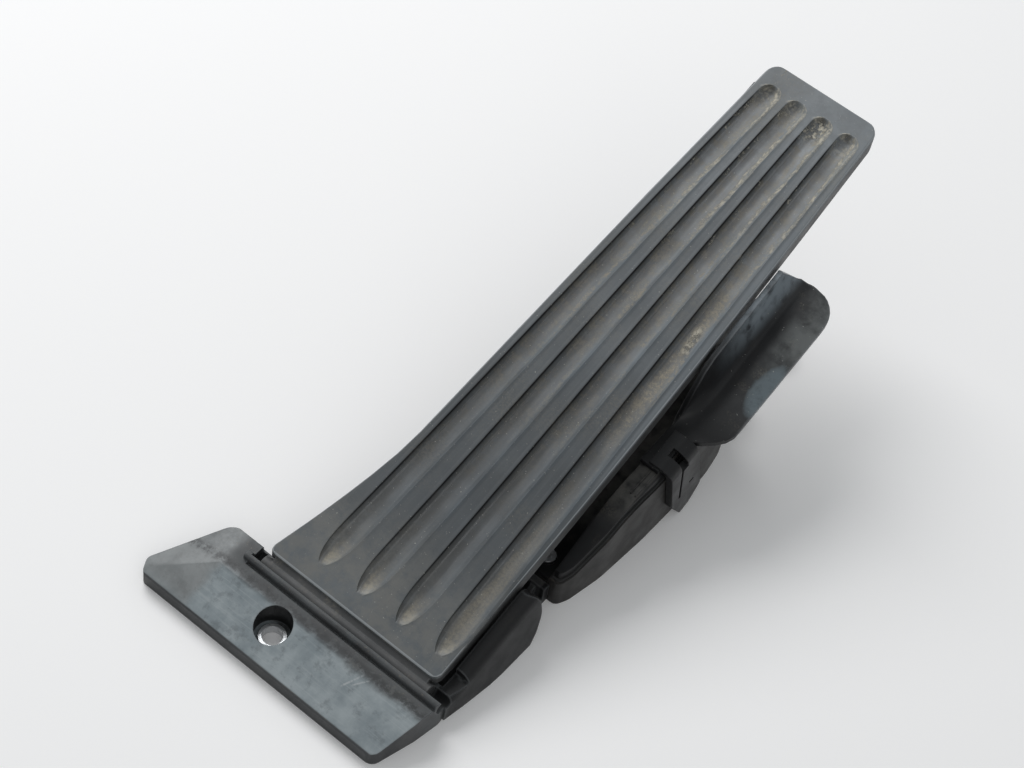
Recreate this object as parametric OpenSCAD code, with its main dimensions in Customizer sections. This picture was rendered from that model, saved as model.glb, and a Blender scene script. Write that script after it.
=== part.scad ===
// Floor hinged accelerator pedal.
// A grooved pad turns on the bead at its heel and swings a sprung lever in the housing under it.
// The origin is the heel bolt's axis at floor level, +Y runs from heel to toe and +X to the right.

/* [Pad] */
// Length of the pad over the floor, heel edge to toe edge
pad_run = 245; // [238:1:250]
// Width of the pad at its heel edge
pad_heel_w = 76.5; // [72:0.5:80]
// Width of the pad at its toe edge
pad_toe_w = 48; // [45:0.5:52]
// Slope of the pad at rest, in degrees
pad_tilt = 18.5; // [18:0.25:19.5]
// Depth of the tread grooves
groove_d = 2.2; // [1.2:0.1:2.5]
// Thickness of the tread skin
tread_t = 3.4; // [3:0.1:4]
// Height of the carrier's side band
band_h = 5.7; // [5:0.1:6.5]

/* [Hinge] */
// Distance from the heel bolt to the hinge axis
hinge_y = 16; // [15.5:0.5:19]
// Height of the hinge axis
hinge_z = 11; // [10.5:0.25:12]
// Diameter of the hinge bead
bead_d = 7; // [6:0.25:7.5]
// Radial running clearance of the bead in its channel
bead_gap = 0.08; // [0.04:0.01:0.1]

/* [Heel plate] */
// Reach of the heel plate in front of the bolt
plate_front = 13; // [11:0.5:16]
// Height of the plate's shelf
shelf_z = 13; // [12.5:0.25:14]
// Wall thickness of the heel plate
plate_wall = 2.6; // [2:0.1:3]
// Outer diameter of the heel sleeve
sleeve_d = 10.1; // [9:0.1:11]
// Bore of the heel sleeve
sleeve_bore = 7.4; // [6.4:0.1:7.6]
// Diameter of the counterbore over the heel sleeve
counterbore_d = 13.6; // [12.5:0.1:15]

/* [Housing] */
// Near end of the housing
house_front = 79; // [77:0.5:82]
// Far end of the housing
house_back = 186; // [184:0.5:190]
// Left side of the housing
house_left = -4; // [-7:0.5:-2]
// Right side of the housing
house_right = 68.6; // [68:0.2:70]
// Wall thickness of the housing
house_wall = 2.5; // [2:0.1:2.8]
// Top of the deck at the near end
deck_z = 12.2; // [12:0.1:12.8]
// Top of the right cheek at the near end
cheek_z = 27.6; // [25:0.5:29]
// Thickness of the cover
cover_t = 2; // [1.6:0.1:2.2]

/* [Lever] */
// Distance from the hinge axis to the lever shaft
lever_run = 132; // [131:0.5:134]
// Height of the lever shaft
lever_z = 11.5; // [11:0.1:11.8]
// Distance along the floor from the hinge axis to the link pin
pin_run = 194; // [192:0.5:196]
// Depth of the link pin below the tread
pin_drop = 14; // [13.5:0.1:14.5]
// Diameter of the lever shaft
shaft_d = 6; // [5:0.2:6.4]
// Diameter of the link pin
pin_d = 5; // [4:0.2:5.6]
// Wire diameter of the return springs
wire_d = 1.5; // [1:0.1:1.6]
// Number of spring turns
spring_turns = 5; // [3:1:5]

/* [Guard wing] */
// Reach of the wing past the pad's side
wing_w = 21.5; // [16:0.5:24]
// Length of the wing over the floor
wing_run = 88; // [80:1:94]
// Thickness of the wing
wing_t = 2; // [1.6:0.1:2.4]

/* [Rear mounts] */
// Distance from the heel bolt to the rear bolts
rear_bolt_y = 230; // [226:1:236]
// Spacing of the rear bolts
rear_bolt_gap = 42; // [38:1:44]
// Bore of the rear sleeves
rear_bore = 6.6; // [5.4:0.1:7]

/* [Hidden] */
$fn = 64;

seat = 0.1;
slack = 0.3;
side_gap = 1.2;

// Pad outline and surface, as functions of the distance from the heel
heel_y = hinge_y + 2.7;
heel_z = hinge_z + 6;
toe_y = heel_y + pad_run;
pad_right_x = 56.6;
toe_narrowing = 4.6;
heel_flare = 10;
flare_end = 0.242;
bow = 1;
heel_r = 3;
toe_r = 5;
lip_w = 2.4;
edge_t = 1.5;

function pad_u(y) = min(1, max(0, (y - heel_y) / pad_run));
function pad_z(y) = heel_z + (y - heel_y) * tan(pad_tilt) - bow * sin(360 * pad_u(y));
function pad_right(y) = pad_right_x - toe_narrowing * pow(max(0, (pad_u(y) - 0.29) / 0.71), 2);
left_heel = pad_right_x - pad_heel_w + heel_flare;
left_toe = pad_right_x - toe_narrowing - pad_toe_w;
function pad_left(y) = left_heel + (left_toe - left_heel) * pad_u(y)
    - heel_flare * pow(max(0, 1 - pad_u(y) / flare_end), 1.4);

// Inward set of an outline inset by e, at its rounded corners
function corner_in(r, d) = d < r ? r - sqrt(max(0, r * r - (r - d) * (r - d))) : 0;
function edge_in(y, e) = e + corner_in(max(0.4, toe_r - e), toe_y - e - y)
    + corner_in(max(0.4, heel_r - e), y - heel_y - e);
function pad_stations(e, n) = let (rh = max(0.4, heel_r - e), rt = max(0.4, toe_r - e),
    y0 = heel_y + e + rh, y1 = toe_y - e - rt) concat(
    [for (a = [0:22.5:67.5]) y0 - rh * cos(a)],
    [for (i = [0:n]) y0 + (y1 - y0) * i / n],
    [for (a = [18:18:90]) y1 + rt * sin(a)]);
function pad_outline(e, n = 24) = let (ys = pad_stations(e, n), last = len(ys) - 1) concat(
    [for (y = ys) [pad_right(y) - edge_in(y, e), y]],
    [for (i = [last:-1:0]) [pad_left(ys[i]) + edge_in(ys[i], e), ys[i]]]);
// Side view of the layer between depths a and b under the tread's top
function pad_layer(a, b, y0, y1, n = 24) = concat(
    [for (i = [0:n]) let (y = y0 + (y1 - y0) * i / n) [y, pad_z(y) - b]],
    [for (i = [n:-1:0]) let (y = y0 + (y1 - y0) * i / n) [y, pad_z(y) - a]]);

// Outline with each corner [x, y, r] rounded to its radius
function unit(v) = v / norm(v);
function rounded_corner(a, b, c, r, n) = let (u = unit(a - b), w = unit(c - b), half = acos(u * w) / 2,
    mid = b + unit(u + w) * r / sin(half), p = b + u * r / tan(half), q = b + w * r / tan(half),
    a0 = atan2(p[1] - mid[1], p[0] - mid[0]), a1 = atan2(q[1] - mid[1], q[0] - mid[0]),
    turn = (a1 - a0 + 540) % 360 - 180)
    [for (i = [0:n]) let (at = a0 + turn * i / n) mid + r * [cos(at), sin(at)]];
function rounded(pts, n = 6) = let (count = len(pts)) [for (i = [0:count - 1])
    let (a = pts[(i + count - 1) % count], b = pts[i], c = pts[(i + 1) % count])
    each (b[2] == 0 ? [[b[0], b[1]]]
        : rounded_corner([a[0], a[1]], [b[0], b[1]], [c[0], c[1]], b[2], n))];

// Extrudes a [y, z] outline along X, an [x, z] outline along Y, and an [x, y] outline upwards
module along_x(outline, x0, x1) {
    translate([x0, 0, 0]) rotate([90, 0, 90]) linear_extrude(x1 - x0) polygon(outline);
}
module along_y(outline, y0, y1) {
    translate([0, y1, 0]) rotate([90, 0, 0]) linear_extrude(y1 - y0) polygon(outline);
}
module upright(outline, z0, z1) {
    translate([0, 0, z0]) linear_extrude(z1 - z0) polygon(outline);
}
module rod_x(r, x0, x1, y, z) {
    translate([x0, y, z]) rotate([0, 90, 0]) cylinder(h = x1 - x0, r = r);
}
module block(x0, x1, y0, y1, z0, z1) {
    translate([x0, y0, z0]) cube([x1 - x0, y1 - y0, z1 - z0]);
}

// Skins a row of closed rings that have equally many points
module loft(rings) {
    n = len(rings[0]);
    m = len(rings);
    half = n / 2;
    ends = [for (i = [0:half - 2]) let (a = i, b = i + 1, c = n - 2 - i, d = n - 1 - i, f = (m - 1) * n)
        each concat(b == c ? [] : [[a, b, c], [f + c, f + b, f + a]], [[a, c, d], [f + d, f + c, f + a]])];
    sides = [for (j = [0:m - 2], i = [0:n - 1]) let (k = (i + 1) % n)
        each [[j * n + i, (j + 1) * n + k, j * n + k], [j * n + i, (j + 1) * n + i, (j + 1) * n + k]]];
    polyhedron([for (r = rings) each r], concat(ends, sides));
}

// The same, with each end closed round a point in its middle
module capped_loft(rings, near_mid, far_mid) {
    n = len(rings[0]);
    m = len(rings);
    ends = [for (i = [0:n - 1]) let (k = (i + 1) % n)
        each [[n * m, i, k], [n * m + 1, (m - 1) * n + k, (m - 1) * n + i]]];
    sides = [for (j = [0:m - 2], i = [0:n - 1]) let (k = (i + 1) % n)
        each [[j * n + i, (j + 1) * n + k, j * n + k], [j * n + i, (j + 1) * n + i, (j + 1) * n + k]]];
    polyhedron(concat([for (r = rings) each r], [near_mid, far_mid]), concat(ends, sides));
}

// Tread skin
groove_count = 4;
groove_heel_x = -1.9;
groove_heel_pitch = 17.7;
groove_toe_x = 11.3;
groove_toe_pitch = 11.35;
groove_heel_half = 4.9;
groove_toe_half = 4.1;
groove_y0 = heel_y + 6.5;
groove_y1 = toe_y - 8;
groove_fade = 14;
groove_min_half = 1.5;
function mix(a, b, t) = a + (b - a) * t;
function groove_x(i, y) =
    mix(groove_heel_x + i * groove_heel_pitch, groove_toe_x + i * groove_toe_pitch, pad_u(y));
function round_end(d, reach) = sqrt(max(0, 1 - pow(1 - min(1, max(0, d / reach)), 2)));
function groove_half(y) = max(groove_min_half, mix(groove_heel_half, groove_toe_half, pad_u(y))
    * min(round_end(y - groove_y0, groove_fade), round_end(groove_y1 - y, groove_toe_half)));
function groove_depth(y) = groove_d * mix(0.5, 1, min(1, pad_u(y) / 0.3))
    * min(1, max(0, (y - groove_y0) / 5)) * min(1, max(0, (groove_y1 - y) / 1.2));
groove_form = [[-1, 0], [-0.8, 0.5], [-0.52, 0.88], [0, 1], [0.52, 0.88], [0.8, 0.5], [1, 0]];

function tread_roll(y) = max(0, 0.5 - (toe_y - y)) + max(0, 0.5 - (y - heel_y));
function tread_ring(y) = let (l = pad_left(y) + edge_in(y, 0), r = pad_right(y) - edge_in(y, 0),
    z = pad_z(y) - tread_roll(y), under = pad_z(y) - edge_t,
    step_in = edge_in(min(max(y, heel_y + lip_w), toe_y - lip_w), lip_w),
    step_l = pad_left(y) + step_in, step_r = pad_right(y) - step_in,
    inside = y > heel_y + lip_w + 0.2 && y < toe_y - lip_w - 0.2,
    deep = pad_z(y) - (inside ? tread_t : edge_t + 0.05)) concat(
    [[l, y, under], [l, y, z - 0.7], [l + 0.25, y, z - 0.2], [l + 0.8, y, z]],
    [for (i = [0:groove_count - 1]) let (x = groove_x(i, y), half = min(groove_half(y), r - 1 - x, x - l - 1))
        each [for (p = groove_form) [x + p[0] * half, y, z - p[1] * groove_depth(y)]]],
    [[r - 0.8, y, z], [r - 0.25, y, z - 0.2], [r, y, z - 0.7], [r, y, under]],
    [[step_r, y, under], [step_r - 0.3, y, deep], [step_l + 0.3, y, deep], [step_l, y, under]]);

tread_steps = 20;
tread_y0 = groove_y0 + groove_fade;
tread_y1 = groove_y1 - 6;
tread_rows = concat([for (d = [0, 0.25, 0.7, 1.3, lip_w, lip_w + 0.4, 4.5]) heel_y + d],
    [for (d = [0, 1, 2.5, 5, 9]) groove_y0 + d],
    [for (i = [0:tread_steps]) mix(tread_y0, tread_y1, i / tread_steps)],
    [for (d = [4.1, 2.8, 1.7, 0.8, 0.25, 0]) groove_y1 - d],
    [for (d = [4.9, 3.6, lip_w + 0.4, lip_w, 1.6, 0.9, 0.4, 0]) toe_y - d]);

module pad_tread() {
    mid_x = pad_right_x / 2;
    color([0.35, 0.37, 0.38]) capped_loft([for (y = tread_rows) tread_ring(y)],
        [mid_x, heel_y, heel_z - 1], [mid_x, toe_y, pad_z(toe_y) - 1]);
}

// Pad carrier with its hinge bead, ribs and slotted ears
seat_depth = tread_t + seat;
floor_depth = seat_depth + 2.5;
band_depth = edge_t + seat + band_h;
rib_depth = 8.5;
rib_t = 2;
ear_t = 3;
ear_r = 6;
lever_w = 7;
ear_gap = 0.7;
lever_x = 26;
ear_in = lever_w / 2 + ear_gap;
shaft_y = hinge_y + lever_run;
pin_y = hinge_y + pin_run;
pin_z = pad_z(pin_y) - pin_drop;
slot_gap = 0.25;
roller_d = pin_d + 3.6;
slot_half = roller_d / 2 + slot_gap - 0.03;

// The link pin's path in the pad, from rest to fully pressed, sets the slots in the ears
travel = 11.5;
lever_ratio = 2.5355;
function turned(p, mid, a) = let (d = p - mid)
    mid + [d[0] * cos(a) - d[1] * sin(a), d[0] * sin(a) + d[1] * cos(a)];
hinge_at = [hinge_y, hinge_z];
shaft_at = [shaft_y, lever_z];
pin_at = [pin_y, pin_z];
pin_path = turned(turned(pin_at, shaft_at, -lever_ratio * travel), hinge_at, travel) - pin_at;
slot_dir = pin_path / norm(pin_path);
slot_tilt = atan2(slot_dir[1], slot_dir[0]);
slot_run = norm(pin_path) + 0.5;

function carrier_low(y) = min(band_depth, 3.6 + (y - heel_y) * 0.35);
carrier_side = let (ys = pad_stations(0, 24), last = len(ys) - 1) concat(
    [for (y = ys) [y, pad_z(y) - carrier_low(y)]],
    [for (i = [last:-1:0]) [ys[i], pad_z(ys[i]) - edge_t - seat]]);

module carrier_rib(x) {
    y0 = heel_y + 12;
    y1 = toe_y - 7;
    outline = rounded(concat(
        [[y0, pad_z(y0) - band_depth + 1, 0], [y0 + 14, pad_z(y0 + 14) - rib_depth, 8],
        [y1 - 20, pad_z(y1 - 20) - rib_depth, 8], [y1, pad_z(y1) - band_depth + 1, 0]],
        [for (i = [4:-1:0]) let (y = mix(y0, y1, i / 4)) [y, pad_z(y) - floor_depth + 0.5, 0]]), 4);
    along_x(outline, x - rib_t / 2, x + rib_t / 2);
}

module carrier_ear(x0) {
    y0 = pin_y - ear_r - 6;
    y1 = pin_y + slot_run * slot_dir[0] + ear_r + 6;
    slot_end = pin_at + slot_run * slot_dir;
    difference() {
        along_x(rounded([
            [y0, pad_z(y0) - floor_depth + 0.3, 0], [pin_y - ear_r, pin_z - ear_r, 5],
            [slot_end[0] + ear_r, slot_end[1] - ear_r + 0.6, 5],
            [y1, pad_z(y1) - floor_depth + 0.3, 0]], 6), x0, x0 + ear_t);
        rod_x(roller_d / 2 + slot_gap, x0 - 1, x0 + ear_t + 1, pin_y, pin_z);
        rod_x(roller_d / 2 + slot_gap, x0 - 1, x0 + ear_t + 1, slot_end[0], slot_end[1]);
        translate([x0 - 1, pin_y, pin_z]) rotate([slot_tilt, 0, 0])
            translate([0, 0, -slot_half]) cube([ear_t + 2, slot_run, 2 * slot_half]);
    }
}

module pedal_carrier() {
    color([0.24, 0.25, 0.26]) {
        difference() {
            intersection() {
                along_x(carrier_side, -60, 80);
                upright(pad_outline(0), -5, toe_y);
            }
            intersection() {
                along_x(pad_layer(-5, seat_depth, heel_y, toe_y), -60, 80);
                upright(pad_outline(lip_w - seat), 0, toe_y);
            }
            intersection() {
                along_x(pad_layer(floor_depth, 30, heel_y + 8, toe_y), -60, 80);
                upright(pad_outline(2.2), -50, toe_y);
            }
        }
        carrier_rib(2.5);
        carrier_rib(pad_right_x - 9);
        cross_ribs();
        carrier_ear(lever_x - ear_in - ear_t);
        carrier_ear(lever_x + ear_in);
        hinge_bead();
    }
}

// Ribs across the carrier between its side bands
module cross_ribs() {
    for (u = [0.12, 0.26, 0.4, 0.54, 0.68, 0.93]) {
        y = heel_y + u * pad_run;
        intersection() {
            along_x(pad_layer(floor_depth - 0.5, rib_depth - 1.5, y - rib_t / 2, y + rib_t / 2, 1), -60, 80);
            upright(pad_outline(1), -50, toe_y);
        }
    }
}

module hinge_bead() {
    x0 = pad_right_x - pad_heel_w + 0.6;
    x1 = pad_right_x - 0.6;
    rod_x(bead_d / 2, x0, x1, hinge_y, hinge_z);
    neck = [[hinge_y, hinge_z], [hinge_y + 2.2, hinge_z + 0.9], [heel_y + 1.2, heel_z - 3.9],
        [heel_y + 6, pad_z(heel_y + 6) - 4.6], [heel_y + 6, pad_z(heel_y + 6) - seat_depth - 0.3],
        [heel_y + 2.5, pad_z(heel_y + 2.5) - seat_depth - 0.3],
        [heel_y + 0.1, heel_z - edge_t - seat], [hinge_y + 0.5, hinge_z + 3.3]];
    along_x(neck, x0 + heel_r, x1 - heel_r + 1);
}

// Heel plate, hinge channel, side skirt and floor pan
plate_right = 57.6;
channel_left = -23;
skirt_in = pad_right_x + side_gap;
skirt_end = 61;
pan_t = 3;
pan_left = -7;
lip_out = hinge_y - bead_d / 2 - bead_gap - 0.6;
channel_r = bead_d / 2 + bead_gap;
front_lip_z = hinge_z + 4.2;
rear_lip_y = hinge_y + channel_r + 1.9;

base_side = rounded([
    [-plate_front, 0, 0], [-plate_front, shelf_z / 2 - 0.2, 1.6], [5.6, shelf_z, 3],
    [lip_out - 0.9, shelf_z, 0.4],
    [lip_out - 0.8, shelf_z - 0.9, 0], [lip_out, shelf_z - 0.9, 0], [lip_out + 0.1, front_lip_z, 1.1],
    [lip_out + 3, front_lip_z, 1], [hinge_y + 0.5, hinge_z, 0], [rear_lip_y, hinge_z + 0.2, 1],
    [rear_lip_y + 0.6, pan_t, 0], [house_front - seat, pan_t, 0], [house_front - seat, 0, 0]], 5);
base_plan = rounded([
    [-49, -plate_front, 2.5], [plate_right - 1, -plate_front, 4], [plate_right + 3.5, 4, 20], [63, 16, 8],
    [skirt_in + 1, 24, 0], [skirt_in + 1, house_front, 0], [pan_left, house_front, 0], [pan_left, 20.3, 2],
    [-37.2, 20.3, 6], [-52, -7.5, 3]], 6);
hollow_side = [[-plate_front + plate_wall, -1], [-plate_front + plate_wall, shelf_z / 2 - plate_wall + 0.4],
    [5, shelf_z - plate_wall - 0.2], [lip_out - 1.5, shelf_z - plate_wall - 0.2], [lip_out - 1.5, -1]];

// Side skirt: a curved foot, a wall that leans in, and a rounded shoulder that follows the pad
skirt_shoulder = 63.4;
skirt_lean = 0.15;
skirt_top_z = shelf_z - 0.6;
function skirt_top(y) = skirt_top_z + (y - heel_y) * tan(pad_tilt) * 1.04;
skirt_plan = rounded([
    [skirt_in, 17, 0], [62.9, 15, 0], [64.6, 26, 30], [66.4, 41, 30], [66.4, skirt_end + 9, 0],
    [skirt_in, skirt_end + 9, 0]], 6);
skirt_side = rounded([
    [17, -1, 0], [skirt_end - 1, -1, 0], [skirt_end + 4.6, 14, 14],
    [skirt_end + 3, skirt_top(skirt_end) + 1, 6],
    [17, skirt_top(17) + 1, 0]], 8);
skirt_section = rounded([
    [skirt_in - 5, -90, 0], [skirt_shoulder + 90 * skirt_lean, -90, 0], [skirt_shoulder, 0, 5],
    [skirt_in - 5, -1.5, 0]], 8);
module skirt() {
    intersection() {
        upright(skirt_plan, 0, 60);
        along_x(skirt_side, 0, 80);
        translate([0, heel_y, skirt_top_z]) rotate([pad_tilt, 0, 0]) along_y(skirt_section, -40, 80);
    }
}

module base_frame() {
    color([0.2, 0.2, 0.2]) difference() {
        union() {
            difference() {
                intersection() {
                    along_x(base_side, -60, 70);
                    upright(base_plan, -1, 40);
                }
                left_shelf_cut();
            }
            left_shelf();
            skirt();
            screw_flange();
            sleeve_boss();
        }
        plate_hollow();
        skirt_hollow();
        rod_x(channel_r, channel_left, 80, hinge_y, hinge_z);
        neck_window();
        translate([0, 0, -1]) cylinder(h = 10, r = sleeve_d / 2 + seat);
        translate([0, 0, 3]) cylinder(h = 20, r = counterbore_d / 2);
        flange_holes();
    }
}

// Opening over the channel, through which the bead's neck swings
module neck_window() {
    window = [[hinge_y, hinge_z], [hinge_y + 9 * cos(118), hinge_z + 9 * sin(118)], [hinge_y, hinge_z + 12],
        [hinge_y + 12, hinge_z + 12], [hinge_y + 12, hinge_z + 0.6]];
    along_x(window, channel_left, pad_right_x + side_gap + 8);
}

// The plate is level left of the channel, where the lips end, and falls in a facet to its near corner
shelf_back = 20.3;
facet_side = 14.6;
facet_back = 2.5;
module left_shelf_cut() {
    block(-60, channel_left - 2, -20, 40, -1, 40);
    block(channel_left - 2.1, pan_left, rear_lip_y - 0.8, 40, pan_t, 40);
}
module left_shelf() {
    shelf_side = rounded([[-plate_front, 0, 0], [-plate_front, shelf_z / 2 - 0.2, 1.6], [5.6, shelf_z, 3],
        [shelf_back, shelf_z, 0.8], [shelf_back, 0, 0]], 5);
    difference() {
        intersection() {
            along_x(shelf_side, -60, channel_left);
            upright(base_plan, -1, 40);
            left_facet(0);
        }
        intersection() {
            upright([[-37, 9], [channel_left - 4, 9], [channel_left - 4, shelf_back - plate_wall],
                [-33.5, shelf_back - plate_wall]], -1, shelf_z - plate_wall);
            left_facet(-plate_wall);
        }
    }
}
// Everything under the plane of the left facet, set down by a drop
module left_facet(drop) {
    translate([-50.4, -7.3, shelf_z - 6 + drop]) rotate([facet_back, -facet_side, 0])
        block(-30, 120, -60, 80, -60, 0);
}

module plate_hollow() {
    difference() {
        intersection() {
            along_x(hollow_side, -38, plate_right - 3);
            left_facet(-plate_wall);
        }
        for (x = [-32, -18, 18, 34, 48])
            block(x - 0.9, x + 0.9, -20, 20, -2, 20);
        translate([0, 0, -1]) cylinder(h = 20, r = counterbore_d / 2 + 2);
    }
}
module sleeve_boss() {
    cylinder(h = 5, r = counterbore_d / 2 + 2);
}
module skirt_hollow() {
    top = skirt_top(26) - 4;
    difference() {
        along_x([[26, -1], [26, top], [skirt_end - 2, skirt_top(skirt_end) - 6], [skirt_end - 2, -1]],
            skirt_in + 1.9, skirt_shoulder - 1.8);
        for (y = [36, 47])
            block(50, 70, y - 0.9, y + 0.9, -2, 40);
    }
}

// Upright flange that meets the housing, with two horizontal screws
flange_h = 9.4;
flange_t = 3;
flange_screw_x = [11, 41];
flange_screw_z = 6.2;
screw_d = 3;
screw_head_d = 6;
screw_bite = 9;
module screw_flange() {
    y0 = house_front - seat - flange_t;
    block(pan_left, skirt_in + 1, y0, house_front - seat, 0, flange_h);
    for (x = [-3, 18, 26, 34, 54])
        along_x([[y0 - 7, pan_t - 0.5], [y0 + 0.5, pan_t - 0.5], [y0 + 0.5, flange_h - 0.8]], x - 1, x + 1);
}
module flange_holes() {
    for (x = flange_screw_x)
        translate([x, house_front - 8, flange_screw_z]) rotate([-90, 0, 0])
            cylinder(h = 12, r = screw_d / 2 + seat);
}
module frame_screws() {
    color([0.7, 0.7, 0.72]) for (x = flange_screw_x)
        translate([x, house_front - seat - flange_t - 0.05, flange_screw_z]) rotate([-90, 0, 0]) {
            cylinder(h = flange_t + screw_bite, r = screw_d / 2);
            difference() {
                translate([0, 0, -2.4]) cylinder(h = 2.4, r = screw_head_d / 2);
                translate([0, 0, -3]) cylinder(h = 2, r = 1.5, $fn = 6);
            }
        }
}

module heel_sleeve() {
    color([0.75, 0.76, 0.76]) difference() {
        cylinder(h = 4, r = sleeve_d / 2);
        translate([0, 0, -1]) cylinder(h = 6, r = sleeve_bore / 2);
    }
}

// Housing shell: a low tray for the lever and a tall narrow cheek for the sensor board
cheek_in = skirt_in;
house_floor = 2.5;
deck_y = 80;
spring_r = 5.5;
spring_room = 0.61;
deck_slope = (lever_z + spring_r + wire_d / 2 + spring_room + cover_t - deck_z) / (shaft_y - deck_y);
function deck_top(y) = deck_z + (y - deck_y) * deck_slope;
function tray_top(y) = deck_top(y) - cover_t;
cheek_slope = 0.12;
function cheek_top(y) = cheek_z + (y - 85) * cheek_slope;
nose_z = 12.6;
nose_end = house_front + 30;
nose_r = 40;

function house_plan(e) = let (r = house_right) rounded([
    [house_left + e, house_front + e, 4 - e], [r - 6.2 - 0.8 * e, house_front + e, max(0.6, 3 - e)],
    [r - 3.9 - e, house_front + 5, 10], [r - 1.3 - e, house_front + 20, 50], [r - e, house_front + 44, 120],
    [r - e, house_back - 24, 60],
    [r - 2.6 - e, house_back - 10, 20], [cheek_in + 2.2 - 0.4 * e, house_back - e, max(1, 8 - e)],
    [house_left + e, house_back - e, 4 - e]], 7);
far = 400;
function below_deck(drop) = [[0, -1], [far, -1], [far, deck_top(far) - drop], [0, deck_top(0) - drop]];
function below_cheek(rise) = rounded([[0, -1, 0], [far, -1, 0], [far, cheek_top(far) + rise, 0],
    [nose_end, cheek_top(nose_end) + rise, nose_r], [house_front, nose_z + rise, 0],
    [0, nose_z + rise, 0]], 8);

foot_end = rear_bolt_y + 11;
foot_left = 0;
foot_right = 56;
rear_mid_x = (foot_left + foot_right) / 2;
rear_bolt_x = [rear_mid_x - rear_bolt_gap / 2, rear_mid_x + rear_bolt_gap / 2];
rear_sleeve_d = 10;
rear_boss_h = 8;
post_x = 9;
post_y = 206;

lane_half = lever_w / 2 + 2;
lane_y0 = shaft_y - 4.5;
cradle_t = 4;
cradle_x = [lever_x - 22, lever_x + 18];
bush_d = 9;
cover_screw_at = [[house_left + 6, house_front + 7], [cheek_in - 6, house_front + 7],
    [house_left + 6, house_back - 8], [cheek_in - 27, house_front + 7]];
socket_w = 20;
socket_h = 12;
socket_x = cheek_in - 6 - socket_w;
socket_z = 4;
socket_len = 15;

module shell_cavities() {
    intersection() {
        upright(house_plan(house_wall), house_floor, 80);
        union() {
            block(-80, cheek_in, 0, far, 0, 80);
            block(cheek_in + house_wall, 80, 0, far, 0, 80);
        }
    }
}
module housing_shell() {
    color([0.18, 0.18, 0.18]) difference() {
        union() {
            difference() {
                union() {
                    intersection() {
                        upright(house_plan(0), 0, 80);
                        along_x(below_deck(cover_t), -80, 80);
                    }
                    intersection() {
                        upright(house_plan(0), 0, 80);
                        along_x(below_cheek(0), cheek_in, 80);
                    }
                }
                shell_cavities();
            }
            shell_bosses();
            shaft_cradles();
            rear_foot();
        }
        lever_lane();
        shell_bores();
        socket_window();
    }
}
module shell_bosses() {
    for (p = cover_screw_at)
        intersection() {
            translate([p[0], p[1], 0]) cylinder(h = 60, r = 3.6);
            along_x(below_deck(cover_t), -80, 80);
        }
    for (x = flange_screw_x)
        block(x - 3.6, x + 3.6, house_front + 1, house_front + 11, 1, tray_top(house_front) - 0.3);
    for (y = [board_y0 + 3, board_y1 - 3])
        block(cheek_in + house_wall - 0.5, house_right - house_wall + 0.5, y - 1, y + 1, 1, board_z0 - 0.1);
}
module shaft_cradles() {
    for (x = cradle_x)
        difference() {
            block(x, x + cradle_t, shaft_y - 8, shaft_y + 8, 1, lever_z + 4.5);
            rod_x(bush_d / 2 + seat / 2, x - 1, x + cradle_t + 1, shaft_y, lever_z);
            block(x - 1, x + cradle_t + 1, shaft_y - bush_d / 2 - seat / 2, shaft_y + bush_d / 2 + seat / 2,
                lever_z, lever_z + 20);
        }
}
module rear_foot() {
    y0 = house_back - 2;
    foot = rounded([[foot_left, y0, 0], [foot_right, y0, 0], [foot_right, foot_end, 8],
        [foot_left, foot_end, 8]], 8);
    difference() {
        upright(foot, 0, 6);
        upright(rounded([[foot_left + 2, house_back + 0.5, 2], [foot_right - 2, house_back + 0.5, 2],
            [foot_right - 2, foot_end - 2, 6], [foot_left + 2, foot_end - 2, 6]], 6), house_floor, 10);
    }
    for (x = rear_bolt_x)
        translate([x, rear_bolt_y, 0]) cylinder(h = rear_boss_h, r = rear_sleeve_d / 2 + 2.2);
    for (x = [foot_left + 14, lever_x - 1])
        block(x, x + 2, house_back - 1, foot_end - 1, 1, 5.4);
    block(foot_right - 16, foot_right - 14, house_back + socket_len + 2, foot_end - 1, 1, 5.4);
    block(foot_left + 1, foot_right - 1, 215, 217, 1, 5.4);
    translate([post_x, post_y, 0]) difference() {
        cylinder(h = stop_post_h, r1 = 7.5, r2 = 5.5);
        translate([0, 0, stop_post_h - 6]) cylinder(h = 10, r = 2.5);
    }
}
module shell_bores() {
    for (x = rear_bolt_x)
        translate([x, rear_bolt_y, -1]) cylinder(h = 20, r = rear_sleeve_d / 2 + seat / 2);
    for (x = flange_screw_x)
        translate([x, house_front - 1, flange_screw_z]) rotate([-90, 0, 0])
            cylinder(h = 11, r = screw_d / 2 + seat / 2);
    for (p = cover_screw_at)
        translate([p[0], p[1], deck_top(p[1]) - 10]) cylinder(h = 20, r = screw_d / 2 + seat / 2);
}
module lever_lane() {
    block(lever_x - lane_half, lever_x + lane_half, house_back - 8, house_back + 3, 12.6, 60);
}
module socket_window() {
    block(socket_x - seat, socket_x + socket_w + seat, house_back - 8, house_back + 1,
        socket_z - seat, socket_z + socket_h + seat);
}

// Deck cover with a slot for the lever
head_sink = 1.1;
function deck_band(low, high) = [[0, deck_top(0) + low], [far, deck_top(far) + low],
    [far, deck_top(far) + high], [0, deck_top(0) + high]];
module deck_cover() {
    color([0.16, 0.16, 0.17]) difference() {
        intersection() {
            upright(house_plan(0), 0, 80);
            along_x(deck_band(0.05 - cover_t, 0), -80, cheek_in - seat);
        }
        block(lever_x - lane_half, lever_x + lane_half, lane_y0, house_back + 1, 0, 60);
        for (p = cover_screw_at)
            translate([p[0], p[1], deck_top(p[1]) - 10]) cylinder(h = 20, r = screw_d / 2 + 0.2);
        for (p = cover_screw_at)
            translate([p[0], p[1], deck_top(p[1]) - head_sink])
                cylinder(h = 20, r = screw_head_d / 2 + slack);
    }
}

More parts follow.
